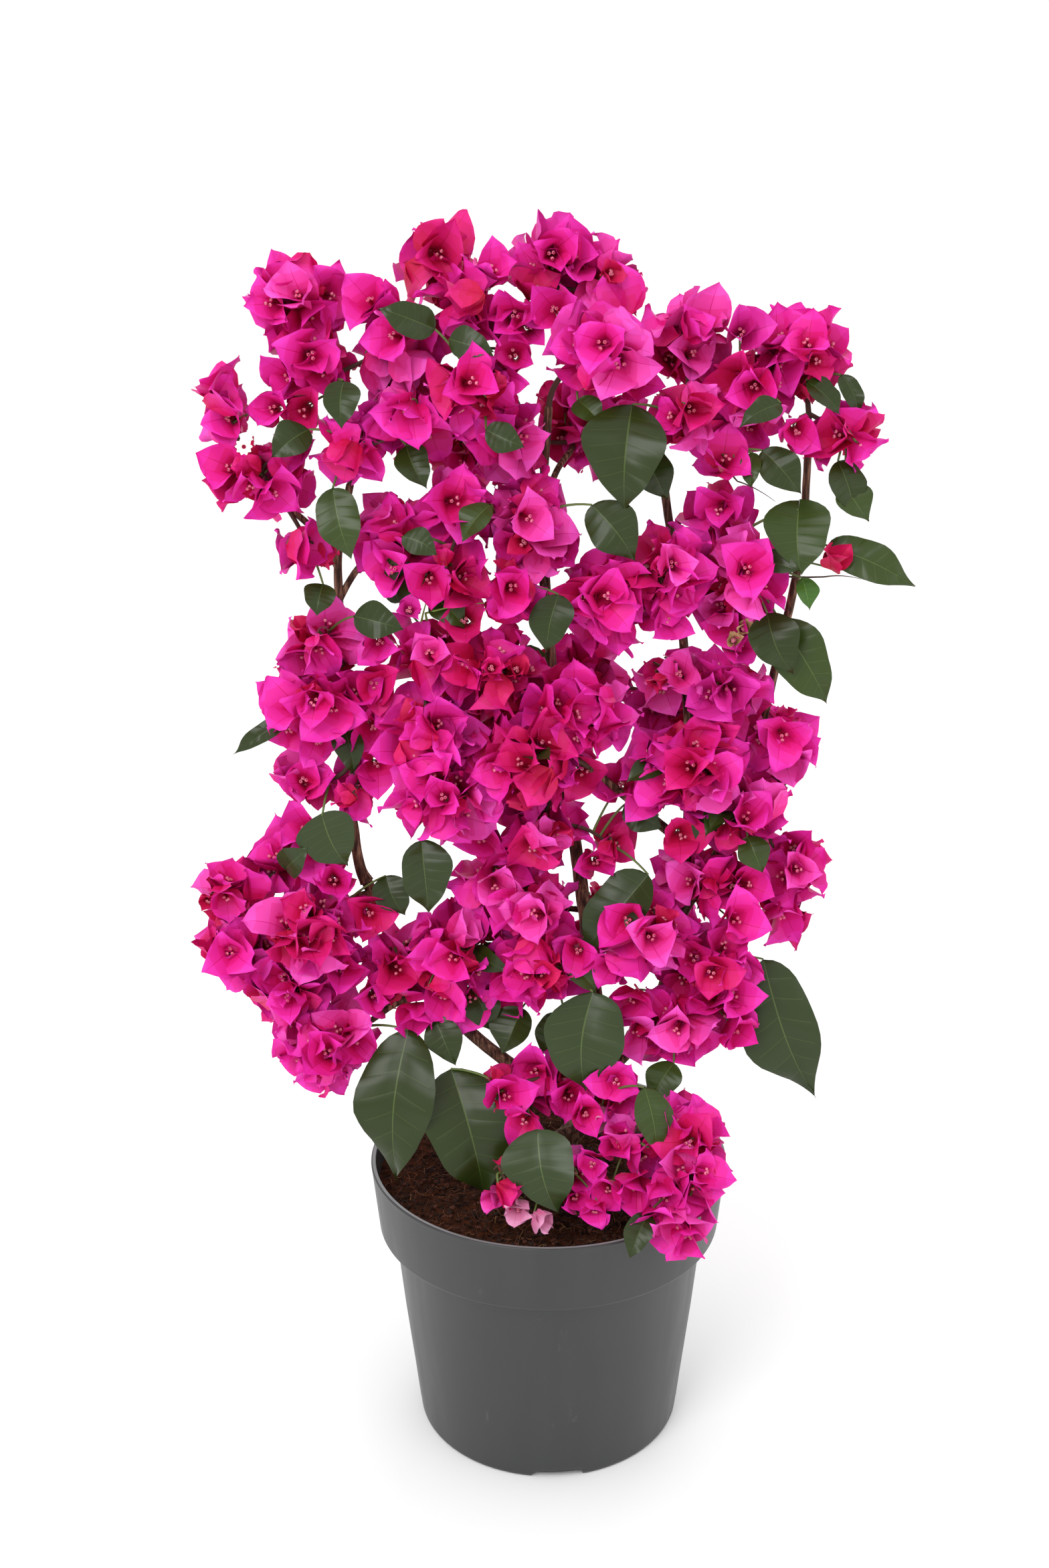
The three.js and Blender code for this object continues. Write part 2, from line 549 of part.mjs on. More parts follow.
function makeMass(name, index) {
  const own = allClumps.filter((clump) => clump.mass === name);
  const bough = limbs[`side_bough_${name}`] ?? limbs[masses[name].from];
  const heading = bough.curve.getTangentAt(1);
  const root = bough.curve.getPointAt(1).addScaledVector(heading, clearance);
  const firstHub = own[0].centre;
  const lead = root.clone().addScaledVector(heading, 0.4 * root.distanceTo(firstHub));
  const stemCurve = new THREE.QuadraticBezierCurve3(root, lead, firstHub);
  const stemRadius = (share) => twig.foot + (twig.tip - twig.foot) * share;
  const stem = solidOf(taperedTube(stemCurve, stemRadius, 3, 2));
  const state = { mass: name, solid: stem, flowers: [] };
  const twigs = [new THREE.Line3(stemCurve.getPointAt(0.5), firstHub)];
  own.forEach((clump, k) => {
    if (k === 0) return;
    for (const aside of twig.asides) {
      const hub = clump.centre.clone().add(new THREE.Vector3(0, aside, 0));
      const from = nearestOn(twigs, hub);
      if (!fuse(state, prism(from, hub, twig.foot, twig.tip))) continue;
      twigs.push(new THREE.Line3(from, hub));
      return;
    }
  });
  for (const [mass, base, tip, width] of largeLeaves) {
    if (mass !== name) continue;
    const from = nearestOn(twigs, vector(base));
    const into = vector(base).lerp(vector(tip), leaf.stalkShare);
    if (!fuse(state, prism(from, into, twig.tip, twig.tip))) continue;
    fuse(state, leafGeometry(vector(base), vector(tip), width, frontFacing));
  }
  own.forEach((clump, k) => {
    const random = seeded(1000 * (index + 1) + 10 * k);
    addFlowers(state, clump, twigs, random);
    addLeaves(state, clump, twigs, random);
  });
  finishedMasses.push(largestBody(state.solid));
  return finishedMasses.at(-1);
}

// ---------------------------------------------------------------- the plant in its container

const plant = new THREE.Group();
plant.add(meshOf('pot', makePot(), finishes.pot));
plant.add(meshOf('soil', makeSoil(), finishes.soil));

makeTrunk();
for (const [name, bough] of Object.entries(mainBoughs)) {
  makeBough(name, bough.from, bough.share, bough.course, bough.foot, bough.tip, 6);
}

// A side bough runs from its parent into the mass's first clump.
for (const [name, { from, share }] of Object.entries(masses)) {
  if (share === 1) continue;
  const start = limbs[from].curve.getPointAt(share);
  const hub = allClumps.find((clump) => clump.mass === name).centre;
  const tip = start.clone().lerp(hub, 0.62);
  const bend = start.clone().lerp(hub, 0.34).add(new THREE.Vector3(0, 0, 5));
  const footRadius = Math.min(3.4, 0.72 * limbs[from].radiusAt(share));
  makeBough(`side_bough_${name}`, from, share, [bend.toArray(), tip.toArray()], footRadius, 2.4, 5);
}

for (const [name, { solid }] of Object.entries(limbs)) {
  plant.add(meshOf(name, solid, finishes.bark));
}
Object.keys(masses).forEach((name, index) => {
  plant.add(meshOf(`foliage_${name}`, makeMass(name, index), finishes.foliage));
});

export default plant;
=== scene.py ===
# A bougainvillea in full flower, grown as a flat fan in a round dark grey nursery pot.
# Sizes are in millimetres until a mesh is made. The limbs, the masses and their clumps
# repeat the solids' own plan, and each clump is carried on to sprays, flowers and leaves.

import math

import bmesh
import bpy
import numpy as np
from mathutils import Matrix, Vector, noise


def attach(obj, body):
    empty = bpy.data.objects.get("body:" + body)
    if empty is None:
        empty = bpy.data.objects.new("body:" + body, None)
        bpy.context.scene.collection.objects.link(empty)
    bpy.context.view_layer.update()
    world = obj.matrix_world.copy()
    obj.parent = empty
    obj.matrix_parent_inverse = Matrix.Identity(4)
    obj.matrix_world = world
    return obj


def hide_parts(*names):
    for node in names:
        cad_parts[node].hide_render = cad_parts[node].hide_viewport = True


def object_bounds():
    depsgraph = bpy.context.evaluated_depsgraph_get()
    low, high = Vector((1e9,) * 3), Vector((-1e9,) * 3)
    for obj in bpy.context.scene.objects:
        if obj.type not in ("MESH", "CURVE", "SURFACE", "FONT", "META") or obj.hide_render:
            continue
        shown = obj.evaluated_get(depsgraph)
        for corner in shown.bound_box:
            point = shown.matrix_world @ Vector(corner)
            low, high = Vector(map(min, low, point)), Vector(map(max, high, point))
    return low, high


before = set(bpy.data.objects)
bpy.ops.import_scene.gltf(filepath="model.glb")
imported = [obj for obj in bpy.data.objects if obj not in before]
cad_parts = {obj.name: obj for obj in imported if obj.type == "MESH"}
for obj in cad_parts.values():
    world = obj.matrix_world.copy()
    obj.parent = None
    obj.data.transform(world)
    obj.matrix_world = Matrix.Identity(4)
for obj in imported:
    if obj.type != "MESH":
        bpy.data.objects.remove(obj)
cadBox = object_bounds()
scene = bpy.context.scene


def addObject(name, data):
    made = bpy.data.objects.new(name, data)
    scene.collection.objects.link(made)
    return made


# camera

camera = {"place": (0.0, -1.2124, 0.9094), "pitch": 17.4, "lens": 39.47, "shift": (-0.0153, 0.0)}

cameraData = bpy.data.cameras.new("camera")
cameraData.sensor_width = 36.0
cameraData.lens = camera["lens"]
cameraData.shift_x, cameraData.shift_y = camera["shift"]
cameraObject = addObject("camera", cameraData)
cameraObject.location = camera["place"]
cameraObject.rotation_euler = (math.radians(90 - camera["pitch"]), 0.0, 0.0)
scene.camera = cameraObject


# materials

def linearColour(code):
    channels = [int(code[i:i + 2], 16) / 255 for i in (0, 2, 4)]
    return tuple(c / 12.92 if c <= 0.04045 else ((c + 0.055) / 1.055) ** 2.4 for c in channels) + (1.0,)


def newMaterial(name, colour, **sockets):
    material = bpy.data.materials.new(name)
    material.use_nodes = True
    shader = material.node_tree.nodes["Principled BSDF"]
    shader.inputs["Base Color"].default_value = linearColour(colour)
    for socket, value in sockets.items():
        shader.inputs[socket.replace("_", " ")].default_value = value
    material.diffuse_color = linearColour(colour)
    return material


def addNode(material, kind, settings=(), links=()):
    # links are (own input, other node, its output)
    tree = material.node_tree
    node = tree.nodes.new(kind)
    for name, value in dict(settings).items():
        if name in node.inputs and not hasattr(type(node), name):
            node.inputs[name].default_value = value
        else:
            setattr(node, name, value)
    for target, other, source in links:
        tree.links.new(other.outputs[source], node.inputs[target])
    return node


def blendOf(material, factor, low, high):
    # a ramp between two hex colours, each given with its place
    ramp = addNode(material, "ShaderNodeValToRGB", links=[("Fac", factor, 0)])
    for element, (place, code) in zip(ramp.color_ramp.elements, (low, high)):
        element.color = linearColour(code)
        element.position = place
    return ramp


def rangeOf(material, factor, given, wanted):
    # maps one range of a node's first output to another
    return addNode(material, "ShaderNodeMapRange", {
        "From Min": given[0], "From Max": given[1], "To Min": wanted[0], "To Max": wanted[1],
    }, [("Value", factor, 0)])


def feedShader(material, socket, node, output=0):
    # a node's output goes into one socket of the surface shader
    tree = material.node_tree
    tree.links.new(node.outputs[output], tree.nodes["Principled BSDF"].inputs[socket])


def between(low, high, share):
    # a hex colour part way from one to another
    parts = [(int(low[i:i + 2], 16), int(high[i:i + 2], 16)) for i in (0, 2, 4)]
    return "".join(f"{round(a + (b - a) * share):02x}" for a, b in parts)


# papery bracts: for each kind of spray the tone at the foot, at the margin, and along the rib; the steps from
# foot to margin are painted light, darker crimson at the foot for painted shade and reddish glow deep in the
# cup, lighter lilac at the margin for painted sheen
bractFinish = {"Roughness": 0.55, "Specular_IOR_Level": 0.22}
bractColours = {
    "bright": ("d40c62", "e632b0", "c80c68"), "main": ("ca084c", "e228a4", "be0854"),
    "rosy": ("da1e74", "ec50bc", "cc1a78"), "deep": ("b80836", "d61a7c", "aa083a"),
    "violet": ("c0106a", "da34a8", "b01068"), "crimson": ("b40a34", "cc185c", "a40a30"),
    "pale": ("d46896", "e89cc4", "c4608e"), "dry": ("9c7a50", "bc9a70", "8c6a44"),
}
bractShadeToSheenSteps = 5  # steps from foot to margin
bractMaterials = []
bractIndex = {}
for name, (foot, margin, rib) in bractColours.items():
    bractIndex[name] = len(bractMaterials)
    for k in range(bractShadeToSheenSteps):
        tone = between(foot, margin, k / (bractShadeToSheenSteps - 1))
        bractMaterials.append(newMaterial(f"bract_{name}_{k + 1}", tone, **bractFinish))
    bractMaterials.append(newMaterial(f"bract_{name}_rib", rib, **bractFinish))
tubeIndex = len(bractMaterials)
bractMaterials += [
    newMaterial("flower_tube", "a01848", Roughness=0.5),
    newMaterial("flower_bud", "ee88a4", Roughness=0.45),
    newMaterial("flower_star", "f6f0de", Roughness=0.5),
]

# waxy leaves: blade, side veins and rib
leafFinish = {"Roughness": 0.31, "Specular_IOR_Level": 0.3}
leafColours = {"dark": ("28340f", "465628"), "middle": ("324216", "50622e"),
               "fresh": ("3c6220", "658a3c"), "cool": ("2d3a1a", "4a5a2e")}
veinShare = 0.4  # how far a side vein's tone lies from the blade's to the rib's
leafMaterials = []
leafIndex = {}
for name, (blade, rib) in leafColours.items():
    leafIndex[name] = len(leafMaterials)
    for part, tone in (("blade", blade), ("vein", between(blade, rib, veinShare)), ("rib", rib)):
        leafMaterials.append(newMaterial(f"leaf_{name}_{part}", tone, **leafFinish))

twigMaterials = [
    newMaterial("twig_brown", "4e372c", Roughness=0.8),
    newMaterial("twig_green", "5d6e34", Roughness=0.6),
    newMaterial("twig_red", "6a2c34", Roughness=0.6),
    newMaterial("shoot_green", "7f9a45", Roughness=0.5),
]


# heaps of small surfaces, joined by kind

quadsPerPiece = 95000


class Heap:
    def __init__(self):
        self.points, self.quads, self.finishes, self.total = [], [], [], 0

    def add(self, points, quads, finishes):
        # one small surface: its corners in millimetres, its faces, and a finish for each face
        self.points.append(points)
        self.quads.append(quads + self.total)
        self.finishes.append(finishes)
        self.total += len(points)

    def pieces(self, name, materials, slotName):
        # joins the surfaces, in their order, into meshes of a limited size
        made, start = [], 0
        while start < len(self.quads):
            end, count = start, 0
            while end < len(self.quads) and count + len(self.quads[end]) <= quadsPerPiece:
                count += len(self.quads[end])
                end += 1
            first = sum(len(p) for p in self.points[:start])
            label = name if start == 0 and end == len(self.quads) else f"{name}_{len(made) + 1}"
            made.append(meshPiece(
                label, np.concatenate(self.points[start:end]),
                np.concatenate(self.quads[start:end]) - first,
                np.concatenate(self.finishes[start:end]), materials))
            start = end
        return made


def meshPiece(name, points, quads, finishes, materials):
    mesh = bpy.data.meshes.new(name)
    mesh.vertices.add(len(points))
    mesh.vertices.foreach_set("co", (points * 0.001).astype(np.float32).ravel())
    mesh.loops.add(quads.size)
    mesh.loops.foreach_set("vertex_index", quads.astype(np.int32).ravel())
    mesh.polygons.add(len(quads))
    mesh.polygons.foreach_set("loop_start", np.arange(0, quads.size, 4, dtype=np.int32))
    mesh.polygons.foreach_set("use_smooth", np.ones(len(quads), dtype=bool))
    for material in materials:
        mesh.materials.append(material)
    mesh.polygons.foreach_set("material_index", finishes.astype(np.int32))
    mesh.update(calc_edges=True)
    piece = addObject(name, mesh)
    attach(piece, "root")
    print(name, len(quads) * 2, "triangles")
    return piece


def gridQuads(rows, columns, closed=False):
    # faces of a grid of points, row by row; closed joins each row's ends
    across = columns if closed else columns - 1
    row, column = np.meshgrid(np.arange(rows - 1), np.arange(across), indexing="ij")
    here, beside = row * columns + column, row * columns + (column + 1) % columns
    return np.stack([here, beside, beside + columns, here + columns], axis=-1).reshape(-1, 4)


def spot(numbers):
    return np.array(numbers, dtype=float)


def unit(v):
    return v / max(np.linalg.norm(v), 1e-9)


def framesAlong(points):
    # unit tangents, and two normals carried along without twist
    tangents = np.gradient(points, axis=0)
    tangents /= np.linalg.norm(tangents, axis=1)[:, None]
    helper = np.array([1.0, 0, 0]) if abs(tangents[0][0]) < 0.8 else np.array([0, 1.0, 0])
    normals = [unit(np.cross(np.cross(tangents[0], helper), tangents[0]))]
    for tangent in tangents[1:]:
        normals.append(unit(normals[-1] - tangent * normals[-1].dot(tangent)))
    normals = np.array(normals)
    return tangents, normals, np.cross(tangents, normals)


def addTube(heap, points, radii, sides, finish):
    _, normals, others = framesAlong(points)
    angles = np.arange(sides) * 2 * math.pi / sides
    ring = np.cos(angles)[None, :, None] * normals[:, None] + np.sin(angles)[None, :, None] * others[:, None]
    surface = points[:, None] + ring * np.asarray(radii, dtype=float)[:, None, None]
    quads = gridQuads(len(points), sides, closed=True)
    finishes = np.full(len(quads), finish) if np.isscalar(finish) else np.repeat(finish, sides)
    heap.add(surface.reshape(-1, 3), quads, finishes)


def bentLine(start, end, sag, count, sway=(0, 0, 0)):
    # a line between two places that bows by so much in the middle
    shares = np.linspace(0, 1, count)[:, None]
    bow = 4 * shares * (1 - shares)
    return start + (end - start) * shares + bow * (np.array([0, 0, -sag]) + np.asarray(sway))


# limbs: trunk, main boughs and side boughs, on the solids' own courses

trunk = {"foot": (14, 12, 209.3), "fork": 372, "footRadius": 13.5, "waistRadius": 8.6, "tipRadius": 6.4,
         "flareShare": 0.22, "lean": [(14, 12, 228), (30, 7, 250), (37, 2, 280), (38, 0, 325), (34, 4, 372)],
         "stubHeight": 262, "stubRadius": 4.6, "stubLength": 24, "stubTurn": (0.35, -0.8, 0.45)}
courseStep, courseFine = 2.5, 40  # even steps along a limb, and the finer ones that they are cut from

# parent, share along it, radius at the foot and the tip, and the corners of the course
mainBoughs = {
    "bough_left_low": ("trunk", 0.34, 5.4, 4.2, [
        (-10, -8, 292), (-45, -12, 320), (-84, -2, 356), (-120, 8, 408), (-138, 12, 448)]),
    "bough_left_high": ("bough_left_low", 1, 4.0, 2.8, [
        (-148, 16, 500), (-152, 20, 565), (-152, 18, 640), (-150, 12, 705), (-140, 8, 748)]),
    "bough_middle": ("trunk", 1, 5.6, 2.8, [
        (24, 20, 450), (10, 30, 540), (0, 30, 640), (-4, 26, 730), (0, 24, 800)]),
    "bough_right": ("trunk", 0.5, 5.2, 2.8, [
        (66, 10, 312), (86, 12, 350), (100, 16, 420), (106, 20, 520), (98, 20, 640), (80, 16, 760)]),
    "bough_far_right": ("bough_right", 0.3, 4.2, 2.6, [
        (132, 30, 470), (154, 34, 540), (170, 30, 620), (182, 22, 700), (184, 20, 775)]),
    "bough_across": ("bough_right", 0.42, 3.8, 2.8, [(72, 4, 506), (30, -6, 544)]),
}

# how a bough leaves its parent's tip, and how a side bough goes part way to its mass
boughLead = 10.3
sideBough = {"bendShare": 0.34, "bendLift": 5, "endShare": 0.62, "thickest": 3.4, "taper": 0.72, "tip": 2.4}

# masses: bough, share along it, and clumps as x, y, z, half width, half height, half depth
masses = {
    "top_left": ("bough_left_high", 1, [
        (-160, 5, 835, 27, 30, 40), (-170, 30, 872, 38, 37, 45), (-105, 15, 845, 32, 38, 48)]),
    "far_left": ("bough_left_high", 0.8, [
        (-200, 0, 757, 37, 33, 45), (-224, 5, 808, 22, 28, 32), (-172, 5, 708, 24, 19, 26)]),
    "top_middle": ("bough_middle", 0.9, [(-56, 15, 870, 30, 30, 45), (-75, 45, 900, 31, 28, 40)]),
    "top_right": ("bough_middle", 1, [
        (35, -10, 842, 36, 36, 42), (2, 50, 899, 33, 29, 42), (42, 35, 886, 30, 34, 44)]),
    "upper_middle": ("bough_middle", 0.78, [
        (-28, 2, 787, 27, 34, 42), (-50, -22, 820, 30, 30, 38), (-95, 0, 797, 29, 29, 44),
        (-135, -15, 781, 25, 26, 34)]),
    "high_right": ("bough_right", 1, [
        (95, -8, 800, 30, 30, 40), (100, 35, 850, 32, 32, 46), (140, 15, 812, 35, 34, 46),
        (123, 8, 768, 20, 20, 26)]),
    "far_top_right": ("bough_far_right", 1, [(175, 22, 840, 37, 34, 46), (209, 10, 786, 28, 28, 32)]),
    "middle_left": ("bough_left_high", 0.72, [(-108, 25, 716, 32, 38, 48)]),
    "middle": ("bough_middle", 0.66, [
        (-14, -2, 725, 28, 40, 44), (-64, 4, 737, 28, 29, 42), (-70, -10, 696, 26, 24, 36),
        (-25, -16, 681, 24, 28, 38)]),
    "right_middle": ("bough_right", 0.72, [
        (85, -15, 696, 34, 36, 44), (40, -5, 672, 31, 37, 44), (138, 5, 688, 36, 42, 48),
        (120, 28, 728, 25, 26, 36)]),
    "left_middle": ("bough_left_high", 0.38, [
        (-165, -4, 597, 42, 28, 48), (-163, 8, 638, 31, 28, 44), (-142, -2, 531, 22, 26, 36),
        (-181, 16, 532, 27, 24, 34)]),
    "centre_left": ("bough_middle", 0.4, [
        (-74, -22, 532, 46, 34, 50), (-88, -18, 577, 36, 35, 50), (-84, 8, 630, 33, 26, 44)]),
    "centre": ("bough_across", 1, [
        (-20, -32, 560, 41, 37, 48), (20, -15, 590, 42, 37, 50), (-40, -5, 621, 40, 35, 50),
        (-5, -5, 497, 37, 31, 44), (45, 0, 482, 19, 23, 28)]),
    "right_centre": ("bough_far_right", 0.3, [
        (100, -8, 550, 45, 39, 52), (130, 14, 600, 33, 34, 46), (86, 18, 612, 25, 29, 40),
        (144, 12, 506, 36, 34, 46)]),
    "right_edge": ("bough_far_right", 0.22, [
        (188, 34, 456, 28, 33, 40), (178, 28, 420, 23, 23, 32), (172, 30, 514, 24, 28, 38),
        (172, 24, 562, 29, 34, 40)]),
    "far_low_left": ("bough_left_low", 0.96, [
        (-176, -14, 421, 41, 36, 48), (-194, 34, 460, 35, 27, 42), (-240, 16, 440, 38, 31, 42),
        (-238, 4, 401, 38, 27, 38)]),
    "low_left": ("bough_left_low", 0.62, [(-165, -20, 332, 33, 35, 44), (-194, -10, 371, 32, 29, 40)]),
    "low_centre_left": ("bough_left_low", 0.78, [(-70, -14, 405, 41, 42, 50), (-114, 4, 386, 27, 40, 42)]),
    "low_centre": ("trunk", 0.86, [
        (-5, -36, 402, 42, 32, 42), (-10, -18, 441, 35, 31, 42), (-40, 0, 456, 32, 26, 40)]),
    "low_right": ("bough_right", 0.22, [
        (95, -24, 352, 38, 31, 42), (120, -10, 391, 37, 36, 46), (76, -14, 421, 37, 32, 42),
        (120, 18, 449, 37, 28, 42)]),
    "bottom": ("trunk", 0.42, [
        (14, -32, 308, 31, 25, 30), (-32, -45, 304, 31, 29, 30), (46, -54, 304, 29, 26, 30)]),
    "over_soil": ("trunk", 0.22, [(-34, -90, 256, 30, 24, 26), (14, -84, 258, 22, 24, 22)]),
    "over_rim": ("trunk", 0.26, [
        (66, -82, 280, 24, 26, 28), (102, -76, 284, 38, 32, 36), (108, -102, 262, 32, 30, 30)]),
    "back_high": ("bough_middle", 0.84, [(28, 88, 786, 40, 38, 34), (-52, 84, 776, 38, 36, 34)]),
    "back_middle": ("bough_middle", 0.5, [
        (-52, 90, 566, 46, 40, 36), (22, 92, 590, 44, 38, 36), (104, 90, 572, 42, 38, 34)]),
    "back_low": ("bough_middle", 0.12, [
        (26, 74, 400, 44, 38, 34), (88, 78, 392, 38, 36, 34), (-42, 74, 414, 40, 36, 34)]),
}


def smoothCourse(corners):
    # a centripetal Catmull-Rom curve through the corners, in fine even steps
    corners = [spot(corner) for corner in corners]
    padded = [2 * corners[0] - corners[1], *corners, 2 * corners[-1] - corners[-2]]
    fine = []
    for p0, p1, p2, p3 in zip(padded, padded[1:], padded[2:], padded[3:]):
        d0, d1, d2 = (max(np.linalg.norm(b - a), 1e-3) ** 0.5 for a, b in ((p0, p1), (p1, p2), (p2, p3)))
        m1 = d1 * ((p1 - p0) / d0 - (p2 - p0) / (d0 + d1) + (p2 - p1) / d1)
        m2 = d1 * ((p2 - p1) / d1 - (p3 - p1) / (d1 + d2) + (p3 - p2) / d2)
        t = np.linspace(0, 1, courseFine, endpoint=False)[:, None]
        fine.append(p1 + m1 * t + (3 * (p2 - p1) - 2 * m1 - m2) * t ** 2 + (2 * (p1 - p2) + m1 + m2) * t ** 3)
    fine = np.concatenate([*fine, corners[-1][None]])
    reach = np.concatenate([[0], np.cumsum(np.linalg.norm(np.diff(fine, axis=0), axis=1))])
    steps = max(3, round(reach[-1] / courseStep))
    even = np.linspace(0, reach[-1], steps + 1)
    return np.stack([np.interp(even, reach, fine[:, k]) for k in range(3)], axis=1)


def pointOn(course, share):
    where = share * (len(course) - 1)
    low = min(int(where), len(course) - 2)
    return course[low] + (course[low + 1] - course[low]) * (where - low)


limbs = {}  # name: (course, radii)


def trunkRadius(share):
    flare = max(0.0, 1 - share / trunk["flareShare"]) ** 2
    return (trunk["waistRadius"] + (trunk["tipRadius"] - trunk["waistRadius"]) * share
            + (trunk["footRadius"] - trunk["waistRadius"]) * flare)


def growBough(name, parent, share, foot, tip, corners):
    course = limbs[parent][0]
    start = pointOn(course, share)
    if share == 1:
        heading = unit(course[-1] - course[-2])
        corners = [start + boughLead * heading, *corners]
    bough = smoothCourse([start, *corners])
    limbs[name] = (bough, foot + (tip - foot) * np.linspace(0, 1, len(bough)))


trunkCourse = smoothCourse([trunk["foot"], *trunk["lean"]])
limbs["trunk"] = (trunkCourse, np.array([trunkRadius(s) for s in np.linspace(0, 1, len(trunkCourse))]))
for name, (parent, share, foot, tip, corners) in mainBoughs.items():
    growBough(name, parent, share, foot, tip, corners)
for name, (parent, share, clumps) in masses.items():
    if share == 1:
        continue
    start, hub = pointOn(limbs[parent][0], share), spot(clumps[0][:3])
    bend = start + (hub - start) * sideBough["bendShare"] + (0, 0, sideBough["bendLift"])
    tip = start + (hub - start) * sideBough["endShare"]
    radii = limbs[parent][1]
    beside = radii[min(len(radii) - 1, round(share * (len(radii) - 1)))]
    foot = min(sideBough["thickest"], sideBough["taper"] * beside)
    growBough("side_bough_" + name, parent, share, foot, sideBough["tip"], [bend, tip])


# bark: facets by thickness, a collar where a limb leaves its parent, and how far the relief stands out
bark = {"facets": (36, 20, 12), "thick": 3.5, "collar": 0.4, "collarReach": 7,
        "rib": 0.13, "lump": 0.07, "fine": 0.06,
        "capShrink": (1, 0.9, 0.6, 0.0), "capLift": (0, 0.25, 0.45, 0.5), "stubLift": 0.5}


def barkMesh():
    # every limb as one skin, ribbed along its length
    heap = Heap()
    ground = trunk["foot"][2]
    stub = np.array(pointOn(trunkCourse, (trunk["stubHeight"] - ground) / (trunk["fork"] - ground)))
    turn = unit(np.array(trunk["stubTurn"]))
    courses = dict(limbs)
    courses["stub"] = (stub + turn * np.linspace(0, trunk["stubLength"], 12)[:, None],
                       np.full(12, trunk["stubRadius"]))
    for index, (name, (course, radii)) in enumerate(courses.items()):
        sides = bark["facets"][0 if name == "trunk" else 1 if radii[0] > bark["thick"] else 2]
        _, normals, others = framesAlong(course)
        angles = np.arange(sides) * 2 * math.pi / sides
        reach = np.arange(len(course)) * courseStep
        swell = 0.0 if name in ("trunk", "stub") else bark["collar"]
        collar = 1 + swell * np.exp(-reach / bark["collarReach"])
        surface = np.zeros((len(course), sides, 3))
        for row, (centre, radius) in enumerate(zip(course, radii * collar)):
            for side, angle in enumerate(angles):
                c, s = math.cos(angle), math.sin(angle)
                rib = noise.noise(Vector((3 * c, 3 * s, row * 0.05 + 7 * index)))
                lump = noise.noise(Vector((c, s, row * 0.22 + 11 * index)))
                fine = noise.noise(Vector((7 * c, 7 * s, row * 0.16 + 3 * index)))
                out = radius * (1 + bark["rib"] * rib + bark["lump"] * lump + bark["fine"] * fine)
                surface[row, side] = centre + out * (c * normals[row] + s * others[row])
        quads = gridQuads(len(course), sides, closed=True)
        heap.add(surface.reshape(-1, 3), quads, np.zeros(len(quads)))
        if name != "trunk":  # a rounded end, pale on the cut stub
            shrink = np.array(bark["capShrink"])
            lift = np.array(bark["capLift"]) * (bark["stubLift"] if name == "stub" else 1) * radii[-1]
            tangent = unit(course[-1] - course[-2])
            ring = surface[-1] - course[-1]
            cap = course[-1] + shrink[:, None, None] * ring + lift[:, None, None] * tangent
            quads = gridQuads(len(shrink), sides, closed=True)
            heap.add(cap.reshape(-1, 3), quads, np.full(len(quads), 1 if name == "stub" else 0))
    return heap


# brown bark in long pale and dark streaks
barkMaterial = newMaterial("bark", "5a4033", Roughness=0.82, Specular_IOR_Level=0.3)
coordinates = addNode(barkMaterial, "ShaderNodeTexCoord")
stretch = addNode(barkMaterial, "ShaderNodeMapping", {"Scale": (420, 420, 46)},
                  [("Vector", coordinates, "Object")])
streaks = addNode(barkMaterial, "ShaderNodeTexNoise", {"Scale": 1.0, "Detail": 5.0, "Roughness": 0.6},
                  [("Vector", stretch, "Vector")])
streakColour = blendOf(barkMaterial, streaks, (0.38, "33211a"), (0.66, "9c7a62"))
middle = streakColour.color_ramp.elements.new(0.5)
middle.color = linearColour("5e4032")
grain = addNode(barkMaterial, "ShaderNodeTexNoise", {"Scale": 900.0, "Detail": 3.0},
                [("Vector", coordinates, "Object")])
relief = addNode(barkMaterial, "ShaderNodeBump", {"Strength": 0.5, "Distance": 0.0006},
                 [("Height", streaks, 0)])
relief = addNode(barkMaterial, "ShaderNodeBump", {"Strength": 0.25, "Distance": 0.0003},
                 [("Height", grain, 0), ("Normal", relief, "Normal")])
feedShader(barkMaterial, "Base Color", streakColour)
feedShader(barkMaterial, "Normal", relief)
cutWood = newMaterial("cut_wood", "d9c49a", Roughness=0.75)

barkPiece = barkMesh().pieces("limbs", [barkMaterial, cutWood], "bark")[0]
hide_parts("trunk", *(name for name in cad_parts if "bough_" in name))
print("limbs grown")


# flowers: three papery bracts round three tubes

bract = {
    "length": (28, 36.5), "width": 0.9, "sizes": (0.84, 1.1),
    "stations": [0, 0.1, 0.22, 0.35, 0.48, 0.61, 0.73, 0.83, 0.91, 0.965, 1],
    "columns": [-1, -0.8, -0.52, -0.25, -0.018, 0.018, 0.25, 0.52, 0.8, 1],
    "shape": (0.5, 0.88, 0.66), "chevron": 0.24, "rib": 0.04, "footGap": 1.4,
    # degrees from the flower's axis at the foot and the tip; the odd one is flung wider
    "openFoot": (4, 34), "openTip": (16, 80), "flung": 0.18, "flungBy": 25, "turn": 0.2,
    "fold": (0.02, 0.44), "cup": (0.12, 0.5), "cupReach": 0.42, "twist": 0.28, "sway": 0.12,
    "wave": (1.1, 3.3), "usualLength": 34, "ripples": (1.3, 2.7), "bendSteps": 24,
    # stations where each step of painted light starts, from painted shade and glow at the foot to painted
    # sheen further out; faces towards the margin count as further along
    "shadeToSheenFrom": (0.16, 0.34, 0.54, 0.76), "marginShare": 0.2,
}
# the slim tube before each bract: swollen foot, waist, round pale bud
tube = {"slant": (6, 13), "tall": (0.4, 0.52), "shares": [0, 0.84, 0.92, 1.0], "radii": [1.0, 0.8, 1.5, 0.5]}


def bladeShape(station, shape):
    # half width of a blade: how it opens at the foot, closes at the end, and narrows to a point
    opening, closing, point = shape
    peak = opening / (opening + closing)
    full = station ** opening * (1 - station) ** closing / (peak ** opening * (1 - peak) ** closing)
    return full * (1 - point * np.clip((station - 0.6) / 0.4, 0, 1) ** 2)


